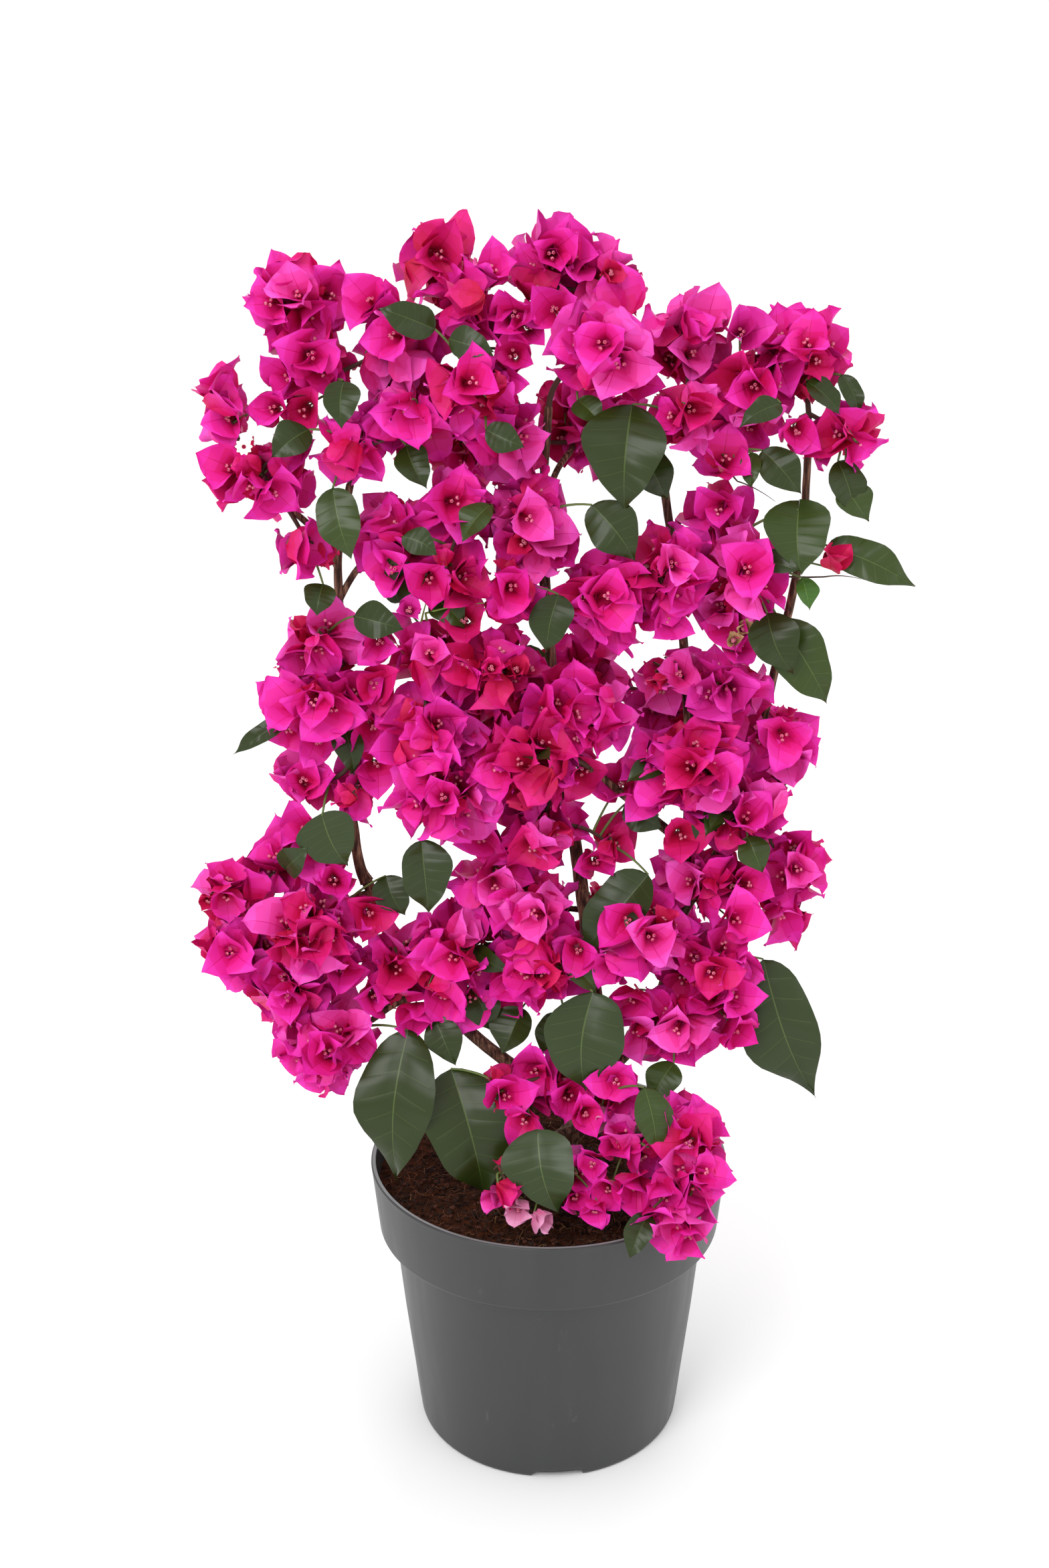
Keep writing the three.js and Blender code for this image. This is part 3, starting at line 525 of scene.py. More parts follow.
bractRows, bractColumns = len(bract["stations"]), len(bract["columns"])
bractQuads = gridQuads(bractRows, bractColumns)
bractPart = []
for i in range(len(bractQuads)):
    row, place = divmod(i, bractColumns - 1)
    along = (bract["stations"][row] + bract["stations"][row + 1]) / 2
    out = abs(bract["columns"][place] + bract["columns"][place + 1]) / 2
    # each face takes its step of painted light, painted shade near the foot and painted sheen towards the tip
    # and margin; the rib strip keeps its own tone
    tone = sum(along + bract["marginShare"] * out ** 2 > start for start in bract["shadeToSheenFrom"])
    bractPart.append(bractShadeToSheenSteps if place == bractColumns // 2 - 1 else tone)
bractPart = np.array(bractPart)
station, column = np.meshgrid(bract["stations"], bract["columns"], indexing="ij")
halfOutline = bladeShape(station, bract["shape"])
bractShare = np.clip(station + bract["chevron"] * abs(column) * station * (1 - station), 0, 1)
sideRibs = np.where(np.arange(bractRows) % 2 == 0, 1.0, -1.0)[:, None] * (abs(column) < 0.9) * (
    abs(column) > 0.1) * (station > 0.05) * (station < 0.9)


def bractSurface(length, openFoot, openTip, random):
    # one bract of a flower that faces +Z, the bract leaning out towards +X
    steps = bract["bendSteps"]
    fine = np.linspace(0, 1, steps)
    lean = np.radians(openFoot + (openTip - openFoot) * fine ** 0.8)
    outward = np.concatenate([[0], np.cumsum(np.sin(lean[:-1]))]) / (steps - 1) * length + bract["footGap"]
    upward = np.concatenate([[0], np.cumsum(np.cos(lean[:-1]))]) / (steps - 1) * length
    half = halfOutline * bract["width"] * length / 2
    side = column * half
    fold = random.uniform(*bract["fold"])
    cup = random.uniform(*bract["cup"])
    wave = random.uniform(*bract["wave"]) * length / bract["usualLength"]
    phase, other = random.uniform(0, 1, 2)
    turns = np.where(column > 0, phase, other)
    slow, quick = bract["ripples"]
    ripple = (np.sin(2 * math.pi * (slow * station + turns))
              + 0.5 * np.sin(2 * math.pi * (quick * station + 2 * turns))) * column ** 2 * wave
    twist = random.normal(0, bract["twist"]) * station * side
    bend = np.interp(bractShare, fine, np.degrees(lean)) * math.pi / 180
    lift = (fold * abs(side) + cup * side ** 2 / (bract["cupReach"] * length)
            + ripple * np.clip(station * 3, 0, 1) + bract["rib"] * sideRibs + twist)
    sway = random.normal(0, bract["sway"]) * length * station ** 2
    radial = np.interp(bractShare, fine, outward) - lift * np.cos(bend)
    axial = np.interp(bractShare, fine, upward) + lift * np.sin(bend)
    return np.stack([radial, side + sway, axial], axis=-1).reshape(-1, 3)


def turnedAbout(points, angle):
    c, s = math.cos(angle), math.sin(angle)
    x, y, z = points.T
    return np.stack([c * x - s * y, s * x + c * y, z], axis=1)


def axesFor(axis):
    # a flower's own side, back and forward
    helper = np.array([0, 0, 1.0]) if abs(axis[2]) < 0.85 else np.array([1.0, 0, 0])
    side = unit(np.cross(helper, axis))
    return np.stack([side, np.cross(axis, side), axis])


def addFlower(heap, base, axis, length, colour, random, opening):
    axes = axesFor(axis)
    start = random.uniform(0, 2 * math.pi)
    for k in range(3):
        size = length * random.uniform(*bract["sizes"])
        foot = random.uniform(*bract["openFoot"]) * opening
        tip = random.uniform(*bract["openTip"]) * opening
        tip += bract["flungBy"] if random.random() < bract["flung"] else 0
        surface = bractSurface(size, foot, tip, random)
        angle = start + k * 2 * math.pi / 3 + random.normal(0, bract["turn"])
        heap.add(base + turnedAbout(surface, angle) @ axes, bractQuads, bractIndex[colour] + bractPart)
        slant = math.radians(random.uniform(*tube["slant"]))
        tall = length * random.uniform(*tube["tall"])
        out, up = math.sin(slant), math.cos(slant)
        way = np.array([out * math.cos(angle), out * math.sin(angle), up])
        line = way * (np.array(tube["shares"]) * tall)[:, None] + np.array([0, 0, 1.0])
        addTube(heap, base + line @ axes, tube["radii"], 5, np.array([tubeIndex] + [tubeIndex + 1] * 2))


star = {
    "place": (-202, -58, 782), "axis": (0.1, -1, 0.2), "facets": 40, "ruffles": 10, "ruffle": 0.7,
    "radii": (5.2, 3.4, 1.5, 0.2), "heights": (0.5, 0, -0.9, -2.6),
    "tubeHeights": (-14.0, -7.0, -1.0), "tubeRadii": (0.9, 1.0, 1.8),
}


def addStar(heap):
    # a small open ruffled bloom on its tube, with a dark throat
    base, axes = spot(star["place"]), axesFor(unit(spot(star["axis"])))
    angles = np.arange(star["facets"]) * 2 * math.pi / star["facets"]
    flat = np.stack([np.cos(angles), np.sin(angles), np.zeros(star["facets"])], axis=1)
    edge = star["radii"][0] + star["ruffle"] * np.cos(star["ruffles"] * angles)
    reaches = [edge[:, None], *star["radii"][1:]]
    rings = [flat * reach + (0, 0, height) for reach, height in zip(reaches, star["heights"])]
    quads = gridQuads(len(rings), star["facets"], closed=True)
    finishes = np.repeat([tubeIndex + 2, tubeIndex + 2, tubeIndex], star["facets"])
    heap.add(base + np.concatenate(rings) @ axes, quads, finishes)
    stem = np.array([(0, 0, height) for height in star["tubeHeights"]])
    addTube(heap, base + stem @ axes, star["tubeRadii"], 6, tubeIndex)


# leaves

leaf = {
    "stations": [0, 0.03, 0.08, 0.15, 0.24, 0.34, 0.45, 0.56, 0.67, 0.77, 0.86, 0.94, 1],
    "shape": (0.56, 1.32, 0.6),
    "columns": [-1, -0.84, -0.56, -0.25, -0.02, 0.02, 0.25, 0.56, 0.84, 1], "chevron": 0.42, "quilt": 0.85,
    "veins": [0.12, 0.24, 0.37, 0.5, 0.63, 0.76], "veinWidth": 0.006, "veinStep": 0.065,
    "cup": 0.0028, "ripple": 0.022, "sweep": 0.014, "lopsided": 0.1, "hook": (0.035, 0.06),
}


def leafGrid(veined):
    # the grid of a blade; a veined one has a narrow strip for each side vein
    stations = list(leaf["stations"])
    if veined:
        stations = [0, 0.012, 0.035, 0.075]
        for vein in leaf["veins"]:
            stations += [vein, vein + leaf["veinWidth"], vein + leaf["veinStep"]]
        stations += [0.87, 0.91, 0.945, 0.975, 1]
    station, column = np.meshgrid(stations, leaf["columns"], indexing="ij")
    quads = gridQuads(len(stations), len(leaf["columns"]))
    across = len(leaf["columns"]) - 1
    ribs = []
    for i in range(len(quads)):
        row, place = divmod(i, across)
        isVein = veined and any(abs(stations[row] - vein) < 1e-6 for vein in leaf["veins"])
        ribs.append(2 if place == across // 2 else int(isVein and 0 < place < across - 1))
    half = bladeShape(station, leaf["shape"])
    share = np.clip(station + leaf["chevron"] * (abs(column) ** 0.9) * station * (1 - station), 0, 1)
    if veined:
        gaps = np.interp(station, leaf["veins"], np.arange(len(leaf["veins"])))
        quilt = abs(np.sin(math.pi * gaps)) * np.minimum(1, 8 * abs(column)) * (1 - 0.4 * column ** 2)
    else:
        quilt = np.where(np.arange(len(stations)) % 2 == 0, 1.0, 0.0)[:, None] * (abs(column) > 0.1)
    return {"station": station, "column": column, "quads": quads, "ribs": np.array(ribs, dtype=int),
            "half": half, "share": share, "quilt": quilt * (station > 0.03) * (station < 0.92)}


leafGrids = {veined: leafGrid(veined) for veined in (False, True)}


def addLeaf(heap, base, tip, width, facing, colour, random, droop=0.12, fold=0.18, heart=0.0, wave=1.0,
            veined=False):
    # a blade from base to tip that arches and folds along its rib
    grid = leafGrids[veined]
    station, column = grid["station"], grid["column"]
    along = tip - base
    length = np.linalg.norm(along)
    along = along / length
    across = unit(np.cross(along, facing))
    up = np.cross(across, along)
    share = grid["share"] - heart * abs(column) * (1 - station) ** 3
    side = column * grid["half"] * width / 2 * (1 + 0.25 * (heart > 0) * (1 - station) ** 4)
    arch = droop * length * (np.sin(math.pi * share) - 0.35 * share ** 3)
    phases = random.uniform(0, 1, 4)
    turns = station * (1.8 if veined else 1.3)
    ripple = np.sin(2 * math.pi * (turns + np.where(column > 0, phases[0], phases[1])))
    slow = np.sin(2 * math.pi * (0.8 * station + phases[2]))
    lift = (arch + fold * abs(side) - leaf["cup"] * side ** 2
            + leaf["quilt"] * grid["quilt"] * (length / 60)
            + wave * leaf["ripple"] * length * ripple * column ** 2
            + wave * leaf["sweep"] * length * slow * column)
    lopsided = 1 + random.uniform(-leaf["lopsided"], leaf["lopsided"]) * np.sign(column)
    edge = lopsided * (1 + (0.06 if veined else 0.03) * ripple * abs(column) ** 3 * (station < 0.9))
    middle, end = (random.normal(0, spread) for spread in leaf["hook"])
    hook = (middle * np.sin(math.pi * share) + end * share ** 3) * length
    surface = (base + (share * length)[..., None] * along + (side * edge + hook)[..., None] * across
               + lift[..., None] * up)
    heap.add(surface.reshape(-1, 3), grid["quads"], leafIndex[colour] + grid["ribs"])


# growth: stems, sprays, flowers and leaves of each mass

grow = {
    "seed": 71, "leadShare": 0.4, "sprays": 5, "nodeShare": 0.42,
    "tries": 420, "inset": 12, "leastShell": (6, 8, 6), "depth": (0.75, 1.0), "spacing": 16.9,
    "smallTries": 80, "smallInset": 18, "smallSpacing": 14, "placedShare": 0.7,
    "youngShare": 0.1, "youngLength": (15, 24), "youngOpening": (0.45, 0.8), "opening": (0.82, 1.12),
    # a flower's axis: out of the shell, towards the viewer's side, any way, and up
    "outward": 0.9, "sideways": 0.3, "axisSpread": 0.54, "uplift": 0.16,
    "middleShare": 0.42, "room": 0.6, "potRoom": 0.45, "backFall": 0.22, "settle": 4,
    "reach": 7, "top": 934, "soilTop": 209, "rimTop": 225, "rimInner": 112, "rimOuter": 150,
    # how near a single leaf a flower may stand: sideways by leaf and flower, and closer behind it
    "leafRoom": (0.36, 0.27), "beforeLeaf": 0.3,
    # where the fan is seen from, and how much of a flower's length counts at an opening
    "eyeDistance": 1212, "eyeHeight": 909, "openingRoom": 0.4,
}
leafGrowth = {
    "each": 3, "more": 2, "moreBelow": 470, "tries": 90, "spacing": 12,
    "length": (30, 54), "width": (0.5, 0.62), "footShare": 0.45, "hang": 0.35, "spread": 0.25,
    "margin": 4, "within": 1.12, "potRoom": 2,
    "colours": {"dark": 0.4, "middle": 0.33, "cool": 0.25, "fresh": 0.02},
}
# radius at the foot and the tip, points along it, and sides
twigKinds = {
    "stem": (2.3, 1.6, 9, 7), "branch": (1.9, 1.3, 7, 6), "spray": (1.25, 0.9, 5, 5),
    "stalk": (0.75, 0.6, 5, 4), "leafStalk": (0.9, 0.7, 5, 4),
    "leafStem": (1.2, 0.8, 9, 5), "flowerStem": (1.1, 0.7, 9, 5),
}
colourChances = {
    "bright": ["bright", "bright", "main", "rosy"], "main": ["main", "bright", "deep", "main"],
    "rosy": ["rosy", "bright", "rosy", "main"], "deep": ["deep", "main", "deep", "bright"],
    "violet": ["violet", "bright", "rosy", "bright"],
}
sprayKinds = ["bright", "bright", "main", "main", "rosy", "deep", "violet"]

# single leaves that stand out: base, tip, width, colour, heart
singleLeaves = [
    ((163, -6, 392), (198, -18, 278), 59, "cool", 0), ((-106, -30, 344), (-120, -58, 231), 60, "dark", 0),
    ((-74, -34, 314), (-50, -66, 221), 66, "dark", 0), ((-8, -86, 288), (0, -108, 233), 50, "cool", 0.05),
    ((33, -44, 382), (30, -62, 308), 60, "cool", 0), ((70, -84, 324), (80, -98, 278), 27, "middle", 0),
    ((57, -18, 806), (48, -34, 736), 55, "dark", 0), ((30, -20, 738), (60, -32, 700), 36, "dark", 0),
    ((176, 0, 732), (173, -20, 689), 43, "middle", 0.16), ((198, 4, 706), (261, -6, 680), 30, "middle", 0),
    ((180, -4, 684), (186, -10, 662), 17, "fresh", 0), ((203, 6, 765), (218, -4, 730), 27, "dark", 0),
    ((208, 4, 750), (224, -6, 724), 26, "middle", 0), ((148, -8, 774), (174, -18, 744), 27, "dark", 0),
    ((142, -4, 772), (140, -14, 748), 15, "middle", 0), ((178, 0, 820), (202, -8, 800), 22, "dark", 0),
    ((202, 4, 824), (214, -2, 796), 15, "dark", 0), ((166, 2, 652), (206, -8, 595), 40, "middle", 0),
    ((156, -6, 659), (169, -20, 616), 36, "dark", 0), ((-150, -10, 748), (-138, -24, 700), 32, "middle", 0),
    ((-160, -6, 680), (-166, -18, 660), 24, "dark", 0), ((-138, -12, 658), (-102, -20, 650), 26, "dark", 0),
    ((7, -24, 676), (0, -34, 636), 30, "dark", 0), ((-188, 6, 580), (-232, 0, 552), 15, "dark", 0),
    ((-166, -16, 510), (-150, -28, 474), 48, "cool", 0.05), ((-94, -12, 490), (-86, -24, 436), 38, "cool", 0),
    ((-122, -2, 458), (-112, -12, 428), 28, "dark", 0), ((148, -4, 490), (158, -14, 464), 24, "middle", 0),
    ((124, 6, 512), (112, -4, 484), 24, "dark", 0),
    ((-76, -26, 856), (-112, -34, 872), 24, "dark", 0), ((-66, -34, 850), (-36, -44, 842), 21, "dark", 0),
    ((-138, -26, 822), (-140, -40, 792), 25, "dark", 0),
    ((-164, -16, 789), (-188, -28, 770), 26, "dark", 0), ((-98, -14, 778), (-84, -26, 750), 24, "dark", 0),
    ((-40, -32, 740), (-60, -40, 716), 24, "middle", 0), ((74, -16, 464), (24, -32, 408), 42, "cool", 0),
    ((-20, -20, 358), (-34, -36, 326), 34, "dark", 0), ((94, -44, 324), (76, -58, 298), 26, "middle", 0),
    ((-120, 4, 676), (-84, -4, 688), 32, "dark", 0), ((-84, 6, 668), (-58, -6, 650), 26, "middle", 0),
    ((-60, -10, 372), (-42, -26, 342), 32, "dark", 0), ((-152, 0, 578), (-140, -14, 540), 22, "dark", 0),
    ((66, 4, 774), (82, -6, 738), 30, "dark", 0), ((58, 8, 512), (84, -4, 494), 25, "dark", 0),
    ((-42, -38, 791), (-15, -46, 782), 21, "dark", 0), ((20, -8, 808), (36, -22, 792), 20, "middle", 0),
    ((156, -34, 808), (128, -42, 794), 20, "dark", 0), ((-196, -8, 466), (-176, -22, 486), 24, "cool", 0),
    ((-100, -40, 719), (-75, -46, 708), 19, "dark", 0), ((12, -24, 354), (-6, -36, 326), 28, "dark", 0),
    ((-86, -24, 352), (-72, -40, 318), 28, "dark", 0), ((72, -126, 246), (58, -146, 220), 21, "dark", 0),
]
# single flowers between the masses and over the rim: place, axis, length, colour
singleFlowers = [
    ((-23, 0, 864), (0.1, -1, 0.2), 33, "main"), ((-9, 16, 882), (0.2, -0.7, 0.7), 31, "deep"),
    ((-179, -4, 822), (-0.5, -1, -0.1), 33, "bright"), ((-169, -2, 800), (-0.3, -1, -0.3), 30, "deep"),
    ((127, 0, 652), (-0.2, -1, -0.2), 34, "main"), ((140, 4, 666), (0.5, -0.8, 0.1), 33, "bright"),
    ((25, -10, 542), (0.3, -1, 0), 32, "deep"), ((54, -2, 530), (0, -1, 0.4), 34, "main"),
    ((110, -4, 514), (0.1, -1, 0.3), 34, "bright"),
    ((-156, -16, 388), (0.2, -1, 0), 35, "main"), ((-132, -18, 366), (0.4, -1, 0.1), 33, "bright"),
    ((-101, -22, 352), (0, -1, -0.4), 33, "main"), ((-173, 0, 404), (-0.3, -1, 0.1), 34, "deep"),
    ((140, -22, 430), (0.4, -1, 0.2), 35, "bright"), ((143, -22, 392), (0.5, -1, -0.1), 35, "main"),
    ((134, -26, 358), (0.3, -1, -0.3), 34, "bright"), ((151, 0, 450), (0.6, -0.8, 0.2), 32, "main"),
    ((-10, -42, 316), (-0.3, -1, 0.3), 34, "bright"), ((15, -52, 299), (0.1, -1, 0.1), 33, "main"),
    ((55, -54, 299), (0.4, -1, 0.1), 35, "bright"), ((62, -102, 254), (-0.3, -1, -0.1), 34, "main"),
    ((82, -118, 254), (0.1, -1, -0.3), 36, "bright"), ((92, -134, 243), (0.2, -1, -0.5), 35, "rosy"),
    ((50, -80, 276), (-0.2, -1, 0.4), 31, "main"), ((101, -116, 260), (0.6, -0.8, 0.1), 34, "bright"),
    ((20, -98, 242), (0.4, -1, 0.2), 27, "main"), ((-40, -92, 238), (-0.4, -1, 0), 22, "rosy"),
    ((-22, -100, 234), (0.2, -1, -0.3), 21, "pale"), ((-6, -112, 232), (0.6, -0.9, -0.2), 20, "pale"),
    ((40, -64, 290), (0, -1, -0.4), 22, "pale"), ((202, -10, 698), (0.1, -0.7, 0.8), 25, "crimson"),
    ((-99, -10, 662), (0.1, -1, 0.5), 19, "violet"), ((-126, -6, 606), (0.2, -1, 0.1), 30, "deep"),
    ((-128, -4, 574), (0.3, -1, -0.1), 28, "main"), ((-60, -6, 654), (-0.2, -1, 0.3), 28, "deep"),
    ((-122, 8, 874), (-0.2, -0.8, 0.5), 34, "bright"), ((-104, 2, 862), (0.2, -1, 0.1), 32, "main"),
    ((-38, 8, 893), (0.3, -0.8, 0.6), 31, "bright"), ((-36, -10, 824), (-0.1, -1, -0.3), 30, "main"),
    ((-110, -6, 690), (-0.3, -1, 0.2), 34, "bright"), ((-84, -10, 684), (0.1, -1, -0.2), 33, "main"),
    ((-60, -6, 680), (0.3, -1, 0.1), 31, "deep"), ((-194, -2, 598), (-0.4, -1, 0.1), 32, "bright"),
    ((-190, 2, 570), (-0.3, -1, -0.3), 31, "main"), ((-168, -8, 564), (0.1, -1, -0.2), 34, "bright"),
    ((-126, -2, 546), (0.2, -1, 0.1), 32, "main"), ((-180, 6, 530), (-0.4, -1, 0), 30, "violet"),
    ((-184, 8, 491), (-0.4, -0.9, 0.4), 31, "bright"), ((-160, -8, 456), (0.1, -1, 0.3), 34, "main"),
    ((-134, -8, 430), (0.4, -1, 0.2), 31, "deep"), ((-236, -2, 384), (-0.5, -1, -0.2), 33, "bright"),
    ((-212, -8, 360), (-0.5, -1, -0.1), 34, "main"), ((-196, -12, 342), (-0.4, -1, -0.4), 33, "bright"),
    ((-80, -20, 368), (-0.2, -1, -0.3), 32, "main"), ((-58, -22, 366), (0.2, -1, -0.1), 33, "bright"),
    ((46, -34, 398), (-0.4, -1, 0.2), 33, "bright"), ((62, -36, 372), (-0.4, -1, -0.2), 34, "main"),
    ((66, -38, 346), (-0.3, -1, -0.3), 33, "rosy"), ((50, -64, 318), (0.1, -1, 0.2), 32, "bright"),
    ((-14, 4, 857), (0.1, -1, 0.2), 29, "main"), ((86, -8, 655), (0, -1, -0.3), 30, "bright"),
    ((66, -4, 661), (-0.3, -1, -0.2), 29, "main"), ((137, -2, 633), (0.3, -1, -0.1), 31, "bright"),
    ((-147, -8, 592), (0, -1, 0.2), 29, "main"), ((-121, -6, 638), (0.2, -1, 0), 29, "bright"),
    ((-178, -4, 478), (-0.2, -1, 0.3), 30, "bright"), ((-189, 0, 872), (-0.6, -1, 0.1), 29, "bright"),
    ((22, -32, 410), (0.1, -1, 0.2), 30, "main"), ((6, -36, 388), (-0.2, -1, -0.1), 30, "bright"),
    ((9, 0, 706), (0.2, -1, 0.1), 29, "main"),
    ((99, -4, 490), (0.2, -1, 0), 29, "deep"), ((36, -6, 470), (0.2, -1, 0.1), 27, "main"),
    ((132, 2, 853), (0, -1, 0.4), 29, "violet"), ((-24, 0, 838), (-0.1, -1, 0.2), 28, "main"),
    ((-49, -10, 489), (0, -1, -0.1), 29, "bright"), ((-30, -16, 365), (0, -1, -0.2), 28, "main"),
    ((34, -112, 239), (-0.2, -1, -0.2), 24, "bright"), ((116, -34, 546), (0.1, -1, 0), 31, "bright"),
    ((16, -30, 322), (-0.1, -1, 0.2), 28, "bright"), ((28, -70, 295), (0.2, -1, 0.1), 26, "main"),
    ((60, -6, 820), (0.2, -1, -0.1), 32, "main"), ((4, -2, 868), (-0.2, -1, 0.3), 32, "bright"),
    ((-118, -6, 792), (0.2, -1, 0.2), 31, "bright"), ((-18, -72, 290), (-0.3, -1, 0.1), 29, "main"),
    ((32, -88, 264), (-0.1, -1, 0.2), 27, "bright"),
    ((44, -98, 248), (-0.3, -1, 0), 30, "main"), ((82, -130, 240), (-0.1, -1, -0.5), 35, "bright"),
    ((100, -134, 232), (0.1, -1, -0.6), 34, "main"), ((172, -4, 786), (0.1, -1, -0.3), 30, "main"),
    ((74, -6, 526), (0.1, -1, 0.1), 31, "bright"),
    ((58, -42, 438), (-0.4, -1, 0.2), 33, "main"), ((138, -34, 374), (0.4, -1, 0.1), 33, "bright"),
    ((141, -36, 346), (0.4, -1, -0.2), 32, "main"), ((-190, -4, 802), (-0.3, -1, 0.1), 32, "bright"),
    ((-178, -6, 778), (0.2, -1, -0.1), 31, "main"), ((94, -36, 338), (-0.2, -1, -0.3), 34, "main"),
    ((110, -36, 338), (0.3, -1, -0.3), 32, "bright"), ((-168, -24, 306), (-0.1, -1, -0.5), 33, "bright"),
    ((-190, -20, 316), (-0.5, -1, -0.4), 32, "main"), ((-16, -42, 407), (0, -1, 0.2), 11, "dry"),
    ((139, -8, 648), (0.3, -1, 0.3), 12, "dry"), ((132, -10, 640), (-0.2, -1, 0.5), 10, "dry"),
]

# places left open, where the sky shows through or the outline draws in: x, z, half width, half height
openings = [
    (-3, 829, 8, 10), (-93, 747, 11, 4), (82, 756, 26, 20), (82, 628, 32, 4), (19, 452, 4, 30),
    (-122, 454, 11, 12), (-80, 470, 9, 7), (-53, 319, 22, 12), (66, 314, 7, 8), (81, 904, 16, 24),
    (188, 602, 15, 18), (195, 507, 17, 18), (-275, 455, 14, 18), (-194, 654, 12, 12), (-192, 910, 11, 9),
    (7, 942, 19, 9), (216, 446, 14, 18), (-264, 844, 10, 12), (-214, 838, 9, 12), (-213, 728, 9, 8),
    (-99, 915, 8, 11), (-58, 940, 10, 8), (196, 879, 16, 9), (-266, 372, 12, 10), (155, 413, 9, 13),
    (-60, 298, 8, 14), (121, 278, 14, 14), (152, 246, 14, 18), (148, 190, 16, 18),
]
placed = [spot(place) for place, _, _, _ in singleFlowers]
standing = [(spot(base), spot(tip), width) for base, tip, width, _, _ in singleLeaves]

# the box that flowers keep to
lowest = np.array(cadBox[0]) * 1000 - grow["reach"]
highest = np.array(cadBox[1]) * 1000 + grow["reach"]
highest[2] = grow["top"]
blossom, foliage, twigs = Heap(), Heap(), Heap()


def segmentNearest(segments, place):
    best, found = 1e9, None
    for start, end in segments:
        span = end - start
        share = np.clip((place - start).dot(span) / max(span.dot(span), 1e-9), 0, 1)
        near = start + span * share
        distance = np.linalg.norm(near - place)
        if distance < best:
            best, found = distance, near
    return found


def clearOfPot(place, margin):
    outward = math.hypot(place[0], place[1])
    if outward > grow["rimOuter"]:
        return True
    floor = grow["rimTop"] if outward > grow["rimInner"] else grow["soilTop"]
    return place[2] - margin > floor


def hidesLeaf(place, length):
    # whether a flower here would cut through, or stand right before, one of the single leaves
    for base, tip, width in standing:
        share = np.clip((place - base).dot(tip - base) / (tip - base).dot(tip - base), 0, 1)
        off = place - base - (tip - base) * share
        off[1] *= grow["beforeLeaf"] if off[1] < 0 else 1
        if np.linalg.norm(off) < grow["leafRoom"][0] * width + grow["leafRoom"][1] * length:
            return True
    return False


def inOpening(place, length):
    # an opening is measured straight through the fan, along the line of sight from the front
    nearer = grow["eyeDistance"] / (grow["eyeDistance"] + place[1])
    x, z = place[0] * nearer, grow["eyeHeight"] + (place[2] - grow["eyeHeight"]) * nearer
    room = grow["openingRoom"] * length
    return any(((x - middle) / (wide + room)) ** 2 + ((z - height) / (high + room)) ** 2 < 1
               for middle, height, wide, high in openings)


def isNear(place, others, distance):
    return any(np.linalg.norm(place - other) < distance for other in others)


def addTwig(kind, start, end, sag, sway, finish):
    thick, thin, count, sides = twigKinds[kind]
    line = bentLine(start, end, sag, count, sway)
    addTube(twigs, line, np.linspace(thick, thin, count), sides, finish)
    return line


def growFlowers(hub, half, sprays, flowers, random):
    # flowers over the shell of one clump, each on a stalk from the nearest spray
    for i in range(grow["tries"] + grow["smallTries"]):
        small = i >= grow["tries"]
        shell = np.maximum(half - grow["smallInset" if small else "inset"], grow["leastShell"])
        way = np.array([0.0, -1 if i == 0 else 1, 0.1]) if i < 2 else unit(random.normal(0, 1, 3))
        depth = 1.0 if i < 2 else random.uniform(*grow["depth"])
        place = hub + way * shell * depth
        place[2] -= grow["backFall"] * (place[1] - hub[1]) + grow["settle"]
        young = small or random.random() < grow["youngShare"]
        length = random.uniform(*(grow["youngLength"] if young else bract["length"]))
        spacing = grow["smallSpacing" if small else "spacing"]
        if isNear(place, flowers, spacing) or hidesLeaf(place, length):
            continue
        if inOpening(place, length) or isNear(place, placed, grow["placedShare"] * spacing):
            continue
        facing = np.array([0, -1 if place[1] < hub[1] + 0.25 * half[1] else 1, 0.18])
        lean = random.normal(0, grow["axisSpread"], 3)
        outward = grow["outward"] * unit(way / shell) + grow["sideways"] * facing
        axis = unit(outward + lean + (0, 0, grow["uplift"]))
        base = place - axis * length * grow["middleShare"]
        if not clearOfPot(place, grow["potRoom"] * length):
            continue
        room = grow["room"] * length
        if (place - room < lowest).any() or (place + room > highest).any():
            continue
        node, kind = min(sprays, key=lambda spray: np.linalg.norm(spray[0] - base))
        choices = colourChances[kind]
        colour = choices[int(random.integers(len(choices)))]
        if young:
            colour = "crimson" if random.random() < 0.5 else "deep"
        opening = random.uniform(*grow["youngOpening" if young else "opening"])
        addFlower(blossom, base, axis, length, colour, random, opening)
        flowers.append(place)
        addTwig("stalk", node, base, -2, random.normal(0, 1.2, 3), 2 if random.random() < 0.5 else 1)


def growLeaves(hub, half, segments, flowers, random):
    # a few leaves between the flowers of one clump
    wanted = leafGrowth["each"] + (leafGrowth["more"] if hub[2] < leafGrowth["moreBelow"] else 0)
    names, chances = zip(*leafGrowth["colours"].items())
    for i in range(leafGrowth["tries"]):
        if wanted == 0:
            break
        way = unit(random.normal(0, 1, 3) + (0, 0, -0.2))
        foot = hub + way * half * leafGrowth["footShare"]
        length = random.uniform(*leafGrowth["length"])
        turn = random.normal(0, leafGrowth["spread"], 3)
        direction = unit(way + np.array([0, 0, -leafGrowth["hang"]]) + turn)
        tip = foot + direction * length
        reach = np.linalg.norm((tip - hub) / (half + leafGrowth["margin"]))
        if reach > leafGrowth["within"] or not clearOfPot(tip, leafGrowth["potRoom"]):
            continue
        if any(isNear(segmentNearest([(foot, tip)], flower), [flower], leafGrowth["spacing"])
               for flower in flowers + placed):
            continue
        facing = unit(np.array([0, -0.8 if foot[1] < hub[1] + 8 else 0.8, 0.7]) + random.normal(0, 0.3, 3))
        colour = names[int(random.choice(len(names), p=chances))]
        addTwig("leafStalk", segmentNearest(segments, foot), foot, -1, (0, 0, 0), 1)
        width = length * random.uniform(*leafGrowth["width"])
        addLeaf(foliage, foot, tip, width, facing, colour, random)
        wanted -= 1


